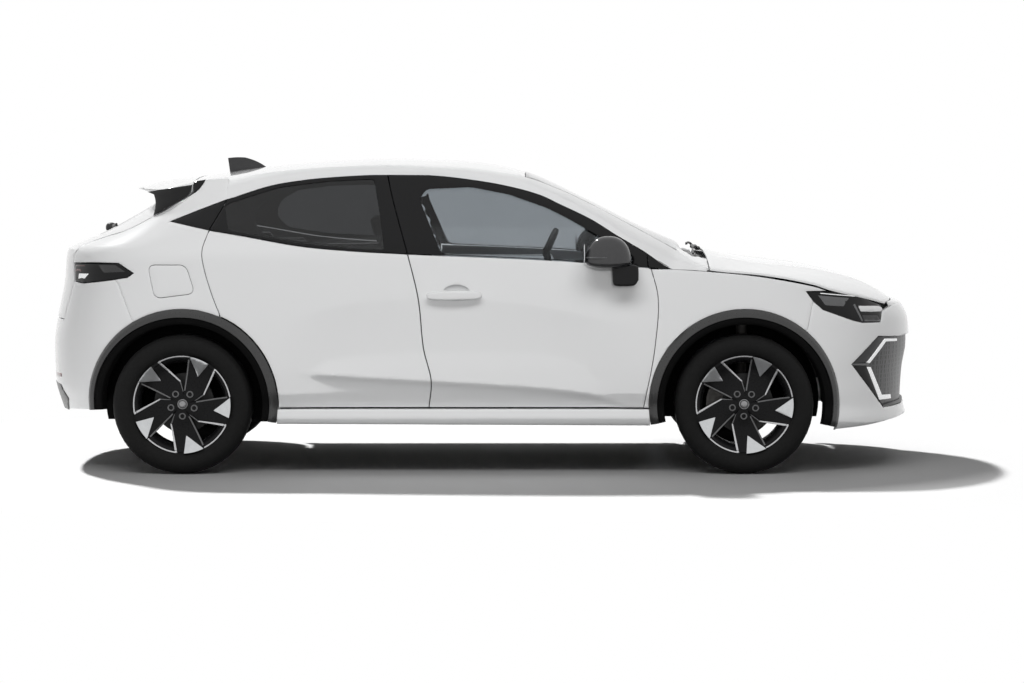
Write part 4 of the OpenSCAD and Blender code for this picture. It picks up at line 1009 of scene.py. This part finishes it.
# low rear: grained valance and two reflectors on the bumper
q = dense(np.array([(1, 270), (540, 273), (592, 330), (530, 392), (1, 398.0)]), 20)
q = q[q[:, 0] >= 1]
q = alongRear(q[:, 0], q[:, 1])
q[[0, -1], 0] = tailEnd
q = q[np.argsort(np.arctan2(q[:, 1] - 334, q[:, 0] - tailEnd - 60))]
q = np.vstack([[(tailEnd, 270)], q[(q[:, 0] > tailEnd + 8)], [(tailEnd, 398)]])
place(meshObject("rearValance", *panelMesh(dense(wrapped(q, tailEnd), 24), depth=-3, thick=3.6, lip=1.5),
      clad), "body", ())
q = rounded([(430, 424), (566, 430), (562, 447), (432, 441)], 5)
m = panelMesh(alongRear(q[:, 0], q[:, 1]), depth=-2, thick=3, lip=1.2)
place(meshObject("rearReflectors", *joined(m, mirrored(*m)), redLens), "body", ())
print("stage 6: mirrors, handles, fin and wipers")

# cabin: padded seats with bolsters and seams, dash, steering wheel, door trims
fabric, nt, p, tc = nodeTree("seatFabric")
weave = nt.nodes.new("ShaderNodeTexWave")
weave.inputs["Scale"].default_value = 180
weave.inputs["Distortion"].default_value = 1.5
nt.links.new(tc.outputs["Object"], weave.inputs["Vector"])
nt.links.new(tint(nt, weave.outputs["Fac"], (0.016, 0.016, 0.017), (0.032, 0.032, 0.034)),
             p.inputs["Base Color"])
nt.links.new(spread(nt, noise(nt, tc.outputs["Object"], 300).outputs[0], 0.8, 0.95), p.inputs["Roughness"])
p.inputs["Sheen Weight"].default_value = 0.25
bump(nt, weave.outputs["Fac"], p, 0.25, 0.0006)


# padded block: crowned face, raised flanks, stitched grooves
def cushion(half, face, bolster=24, seams=(0.6,), cross=()):
    v, f = egg((0, 0, 0), half, 4.5, 84, 52)
    q = v / np.array(half, float)
    a = q[:, face]
    b = q[:, 2 - face]
    y = np.abs(q[:, 1])
    front = ramp((a - 0.2) / 0.6)
    out = 16 * (1 - b ** 2) * (1 - (q[:, 1] * 0.8) ** 2) + bolster * ramp((y - 0.58) / 0.2) * ramp((1
            - y) / 0.1) * ramp((1 - np.abs(b)) / 0.25)
    for s in seams:
        out -= 8 * np.exp(-((y - s) / 0.025) ** 2) * ramp((0.96 - np.abs(b)) / 0.1)
    for s in cross:
        out -= 7 * np.exp(-((b - s) / 0.022) ** 2) * ramp((0.62 - y) / 0.05)
    side = ramp((0.5 - np.abs(a)) / 0.4)
    v[:, face] += out * front
    # piping line round the middle
    v[:, 1] -= np.sign(v[:, 1]) * 2.5 * np.exp(-(a / 0.05) ** 2) * side * (y > 0.9)
    return v, f


def leaned(m, at, deg):  # tipped back about y, then moved
    c, s = np.cos(np.radians(deg)), np.sin(np.radians(deg))
    v = m[0]
    return np.stack([v[:, 0] * c - v[:, 2] * s, v[:, 1], v[:, 0] * s + v[:, 2] * c], -1) + at, m[1]


def shifted(m, by):
    return m[0] + np.array(by, float), m[1]


posts = lambda y, z: joined(*[egg((0, y + o, z), (7, 7, 48), 5, 16, 12) for o in (-55, 55)])
frontSeat = {"y": 370, "cushion": (252, 233, 62), "cushionAt": (-5, 408), "back": (56, 228, 285),
             "head": (46, 118, 84), "base": (168, 178, 45), "pivot": (-235, 470), "lean": 20, "fill": 0.6}
for name, y in (("Right", -frontSeat["y"]), ("Left", frontSeat["y"])):
    pivot = (frontSeat["pivot"][0], y, frontSeat["pivot"][1])
    lean = frontSeat["lean"]
    low = cushion(frontSeat["cushion"], 2, 26, (0.58,), (-0.15, 0.35))
    low = shifted(low, (frontSeat["cushionAt"][0], y, frontSeat["cushionAt"][1]))
    back = cushion(frontSeat["back"], 0, 26, (0.58,), (-0.4, 0.1, 0.55))
    back = leaned(shifted(back, (0, 0, 270)), pivot, lean)
    head = leaned(shifted(cushion(frontSeat["head"], 0, 0, (), ()), (-2, 0, 676)), pivot, lean)
    hard = joined(leaned(posts(0, 582), pivot, lean),
                  shifted(egg((0, 0, 0), frontSeat["base"], 8, 40, 20), (-20, y, 297)))
    for part, m in (("Cushion", low), ("Back", back), ("Head", head)):
        ob = place(meshObject("seat" + part + name, *m, fabric, 70), "body", "front_seats")
    place(meshObject("seatBase" + name, *hard, plastic), "body", ())
bench = {"cushion": (212, 586, 66), "back": (56, 586, 270), "head": (40, 112, 58), "headY": 330,
         "pivot": (-1010, 476), "lean": 18, "fill": 0.6}


def benchPart(name, m):  # one padded piece of the rear bench
    ob = place(meshObject(name, *m, fabric, 70), "body", "rear_bench")


benchPart("benchCushion", shifted(cushion(bench["cushion"], 2, 14, (0.34, 0.93), (0.4,)), (-714, 0, 412)))
back = shifted(cushion(bench["back"], 0, 10, (0.34, 0.93), (0.45,)), (0, 0, 265))
benchPart("benchBack", leaned(back, (bench["pivot"][0], 0, bench["pivot"][1]), bench["lean"]))
for name, y in (("Right", -bench["headY"]), ("Left", bench["headY"])):
    pivot = (bench["pivot"][0], y, bench["pivot"][1])
    head = shifted(cushion(bench["head"], 0, 0, (), ()), (-3, 0, 620))
    benchPart("benchHead" + name, leaned(head, pivot, bench["lean"]))
    m = leaned(posts(0, 556), pivot, bench["lean"])
    place(meshObject("benchPosts" + name, *m, plastic), "body", ())

# dash: one section drawn across the cabin, lower and further forward at its ends
dashLine = rounded([(560, 720), (548, 860), (600, 925), (700, 948), (798, 950), (798, 664), (650, 664)], 40)
y = np.linspace(-706, 706, 41)
fall = (np.abs(y) / 706) ** 3
p = np.stack([dashLine[None, :, 0] + 26 * fall[:, None] * (dashLine[None, :, 0] < 790),
             y[:, None] + 0 * dashLine[None, :, 0], dashLine[None, :, 1] - 30 * fall[:,
             None] * (dashLine[None, :, 1] > 850)], -1)
n, m = p.shape[:2]
k = np.arange(n * m).reshape(n, m)
j = np.roll(k, -1, 1)
f = np.stack([k[:-1], k[1:], j[1:], j[:-1]], -1).reshape(-1, 4).tolist() + [k[0].tolist(),
        k[-1, ::-1].tolist()]
steering = {"axis": (-0.9063, 0, 0.4226), "hub": (284, 370, 935.0), "rim": 170, "grip": 15,
            "boss": (66, 70, 24)}
axis = np.array(steering["axis"])
hub = np.array(steering["hub"])
column = bladeArm([hub - axis * d for d in (40, 120, 200, 300)], np.linspace(20, 34, 40), 20)
binnacle = shifted(egg((0, 0, 0), (70, 165, 42), 3, 40, 20), (610, 370, 952))
vents = joined(*[shifted(egg((0, 0, 0), (10, 70, 20), 4, 32, 12), (553, yy, 872))
               for yy in (-590, -120, 120, 590)])
place(meshObject("dashPad", *joined((p.reshape(-1, 3), [t[::-1] for t in f]), column, binnacle), plastic,
      50), "body", "dashboard")
place(meshObject("dashVents", *vents, satinBlack), "body", ())
place(meshObject("dashScreen", *leaned(egg((0, 0, 0), (6, 130, 75), 8, 48, 24), (560, 0, 985), 14), gloss),
      "body", ())
place(meshObject("console", *shifted(egg((0, 0, 0), (420, 105, 100), 7, 56, 28), (180, 0, 420)), plastic),
      "body", ())


def onColumn(v):  # from steering wheel axes to car axes
    return hub + v[:, :1] * np.array([0.4226, 0, 0.9063]) + v[:, 1:2] * np.array([0, 1.0, 0]) + v[:,
            2:] * axis


def ringTube(big, small, n=72, m=16):
    a, b = np.meshgrid(np.linspace(0, 2 * pi, n, endpoint=False), np.linspace(0, 2 * pi, m, endpoint=False),
                       indexing="ij")
    v = np.stack([(big + small * np.cos(b)) * np.cos(a), (big + small * np.cos(b)) * np.sin(a),
                 small * np.sin(b)], -1).reshape(-1, 3)
    k = np.arange(n * m).reshape(n, m)
    a, b, c = np.roll(k, -1, 0), np.roll(np.roll(k, -1, 0), -1, 1), np.roll(k, -1, 1)
    return v, np.stack([k, a, b, c], -1).reshape(-1, 4).tolist()


arms = [egg((0, 0, 0), (62, 17, 8), 4, 32, 12) for i in range(3)]
arms = [(np.stack([(v[:, 0] + 112) * np.cos(a) - v[:, 1] * np.sin(a),
        (v[:, 0] + 112) * np.sin(a) + v[:, 1] * np.cos(a), v[:, 2]], -1), f)
        for (v, f), a in zip(arms, (pi / 2, pi, -pi / 2))]
v, f = joined(ringTube(steering["rim"], steering["grip"]), egg((0, 0, -4), steering["boss"], 3, 40, 20),
              *arms)
place(meshObject("steeringRim", onColumn(v), f, plastic, 60), "steering", "steering_wheel")

# inner door trims and headliner
line = np.vstack([run((700, 360), (730, 600), (720, 900)), run((720, 900), (-260, 950)),
                 run((-260, 950), (-230, 700), (-200, 360)), run((-200, 360), (700, 360))])
bothSides("frontTrim", shut(line, 4), plastic, frontDoors, none, slot="cabin_plastic", depth=40.6, thick=5,
          lip=3)
line = np.vstack([run((-330, 360), (-345, 700), (-380, 960)), run((-380, 960), (-1150, 1040)),
                 run((-1150, 1040), (-1190, 900), (-1110, 740)),
                 run((-1110, 740), (-960, 560), (-930, 380)), run((-930, 380), (-330, 360))])
bothSides("rearTrim", shut(line, 4), plastic, rearDoors, none, slot="cabin_plastic", depth=40.6, thick=5,
          lip=3)
frontRest = egg((260, -800, 660), (200, 22, 32), 4, 48, 18)
rearRest = egg((-640, -795, 690), (170, 22, 30), 4, 48, 18)
for k in (0, 1):
    turn = (lambda q: q) if k == 0 else (lambda q: mirrored(*q))
    place(meshObject("armRestFront" + ("Right", "Left")[k], *turn(frontRest), fabric, 60), frontDoors[k],
          ())
    place(meshObject("armRestRear" + ("Right", "Left")[k], *turn(rearRest), fabric, 60), rearDoors[k], ())
x = np.linspace(-1300, 190, 40)
y = topHalf(x) - 8
line = np.vstack([np.stack([x, -y], -1), np.stack([x, y], -1)[::-1]])
lining = finish("headlining", (0.20, 0.20, 0.195), (0.26, 0.26, 0.255), (0.85, 0.95), 200,
                (900, 0.3, 0.0006))
place(meshObject("headliner", *panelMesh(dense(line, 40), surf=top, depth=15, thick=5, step=60, lip=1),
      lining), "body", ())

# boot: side trims above the wheel houses, and the tailgate's inner trim below its glass
line = np.vstack([run((-1226, 752), (-1222, 960), (-1250, 1170)),
                 run((-1250, 1170), (-1350, 1218), (-1520, 1120), (-1680, 1035)),
                 run((-1680, 1035), (-1810, 950)), run((-1810, 950), (-1800, 780), (-1772, 560)),
                 arc(rearAxle, 450, 148, 70, 40)])
bothInOne("bootTrims", ccw(line), plastic, (), slot="cabin_plastic", depth=46, thick=5, lip=3)
q = alongRear(*rounded([(0, 752), (560, 760), (610, 900), (560, 1040), (0, 1058)], 40).T)
q = q[q[:, 0] > tailEnd + 20]
q = q[np.argsort(np.arctan2(q[:, 1] - 905, q[:, 0] - tailEnd - 5))]
q = np.vstack([[(tailEnd, q[0, 1])], q, [(tailEnd, q[-1, 1])]])
m = panelMesh(dense(wrapped(q, tailEnd)), depth=37, thick=5, lip=3)
place(meshObject("tailgateTrim", *m, plastic), "tail_door", ())

# chassis and other nodes keep their own form and take a finish
finishes = {steel: ("floor_pan", "exhaust", "front_subframe", "rear_axle"),
            iron: ("powertrain", "knuckle_right", "knuckle_left"), cladIn: ("arch_liners",),
            satinBlack: ("b_pillars",)}
for mat, names in finishes.items():
    for name in names:
        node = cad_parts[name]
        node.data.materials.clear()
        node.data.materials.append(mat)
print("stage 7: cabin and chassis finishes")

# studio: pale floor that fades into white surroundings, a lamp behind that throws the shadow forward,
# and soft ones on the camera's side
floorMat, nt, p, tc = nodeTree("studioFloor")
n = noise(nt, tc.outputs["Object"], 0.8)
pale = tint(nt, n.outputs[0], (0.875, 0.875, 0.875), (0.885, 0.885, 0.885))
p.inputs["Roughness"].default_value = 0.9
p.inputs["Specular IOR Level"].default_value = 0.05
path = nt.nodes.new("ShaderNodeLightPath")


def seenBy(nt, path):  # 1 for camera, mirror and see-through rays
    out = path.outputs["Is Camera Ray"]
    for name in ("Is Glossy Ray", "Is Transmission Ray"):
        s = nt.nodes.new("ShaderNodeMath")
        s.operation = "ADD"
        s.use_clamp = True
        nt.links.new(out, s.inputs[0])
        nt.links.new(path.outputs[name], s.inputs[1])
        out = s.outputs[0]
    return out


white = nt.nodes.new("ShaderNodeEmission")
nt.links.new(seenBy(nt, path), white.inputs["Strength"])
oval = nt.nodes.new("ShaderNodeVectorMath")
oval.operation = "MULTIPLY"
nt.links.new(tc.outputs["Object"], oval.inputs[0])
oval.inputs[1].default_value = (1, 1.35, 0)
span = nt.nodes.new("ShaderNodeVectorMath")
span.operation = "LENGTH"
nt.links.new(oval.outputs[0], span.inputs[0])
direct = spread(nt, span.outputs["Value"], 0, 1, 2.5, 3.7)
nt.links.new(pale, p.inputs["Base Color"])
mix = nt.nodes.new("ShaderNodeMixShader")
nt.links.new(direct, mix.inputs[0])
nt.links.new(p.outputs[0], mix.inputs[1])
nt.links.new(white.outputs[0], mix.inputs[2])
nt.links.new(mix.outputs[0], nt.nodes["Material Output"].inputs["Surface"])
floor = meshObject("floor", [(-60000, -60000, -1), (60000, -60000, -1), (60000, 60000, -1),
                   (-60000, 60000, -1)], [(0, 1, 2, 3)], floorMat)
world = bpy.data.worlds.new("studio")
bpy.context.scene.world = world
world.use_nodes = True
nt = world.node_tree
back = nt.nodes["Background"]
path = nt.nodes.new("ShaderNodeLightPath")
nt.links.new(spread(nt, seenBy(nt, path), 0.10, 1.0, 0, 1), back.inputs["Strength"])
back.inputs["Color"].default_value = (1, 1, 1, 1)


def lamp(name, at, aim, size, power):
    data = bpy.data.lights.new(name, "AREA")
    data.shape = "RECTANGLE"
    data.size, data.size_y, data.energy = size[0], size[1], power
    ob = bpy.data.objects.new(name, data)
    bpy.context.collection.objects.link(ob)
    ob.location = at
    ob.rotation_euler = (Vector(aim) - Vector(at)).to_track_quat("-Z", "Y").to_euler()
    return ob


def linked(ob, state):  # the floor alone takes this lamp, or everything but the floor
    group = bpy.data.collections.new(ob.name + "Floor")
    group.objects.link(floor)
    group.collection_objects[0].light_linking.link_state = state
    ob.light_linking.receiver_collection = group
    return ob


studio = {"behind": (-14.0, 22.3, 30.0), "high": (0.0, -7.0, 7.5), "camera": (0.138, -15.19, 1.50),
          "lens": 109.85, "pitch": 3.54, "watts": {"behind": 7600, "behindLow": 13200, "highFill": 185,
          "highSide": 405, "cameraSide": 290}}
watts = studio["watts"]
lamp("behind", studio["behind"], (0, 0, 0.5), (2.0, 2.0), watts["behind"])
linked(lamp("behindLow", studio["behind"], (0, 0, 0.5), (2.0, 2.0), watts["behindLow"]), "INCLUDE")
lamp("highFill", studio["high"], (0, -0.5, 0.6), (9, 3), watts["highFill"]).visible_glossy = False
linked(lamp("highSide", studio["high"], (0, -0.5, 0.6), (9, 3), watts["highSide"]),
       "EXCLUDE").visible_glossy = False
side = lamp("cameraSide", (-1.0, -17.0, 3.5), (0, 0, 0.7), (14, 4), watts["cameraSide"])
linked(side, "EXCLUDE").visible_glossy = False

camera = bpy.data.objects.new("camera", bpy.data.cameras.new("camera"))
bpy.context.collection.objects.link(camera)
camera.data.sensor_width = 36
camera.data.lens = studio["lens"]
camera.data.clip_end = 300
camera.location = studio["camera"]
camera.rotation_euler = (np.radians(90 - studio["pitch"]), 0, 0)
bpy.context.scene.camera = camera
view = bpy.context.scene.view_settings
view.view_transform = "Standard"
print("stage 8: studio, lights and camera")

bpy.context.view_layer.update()
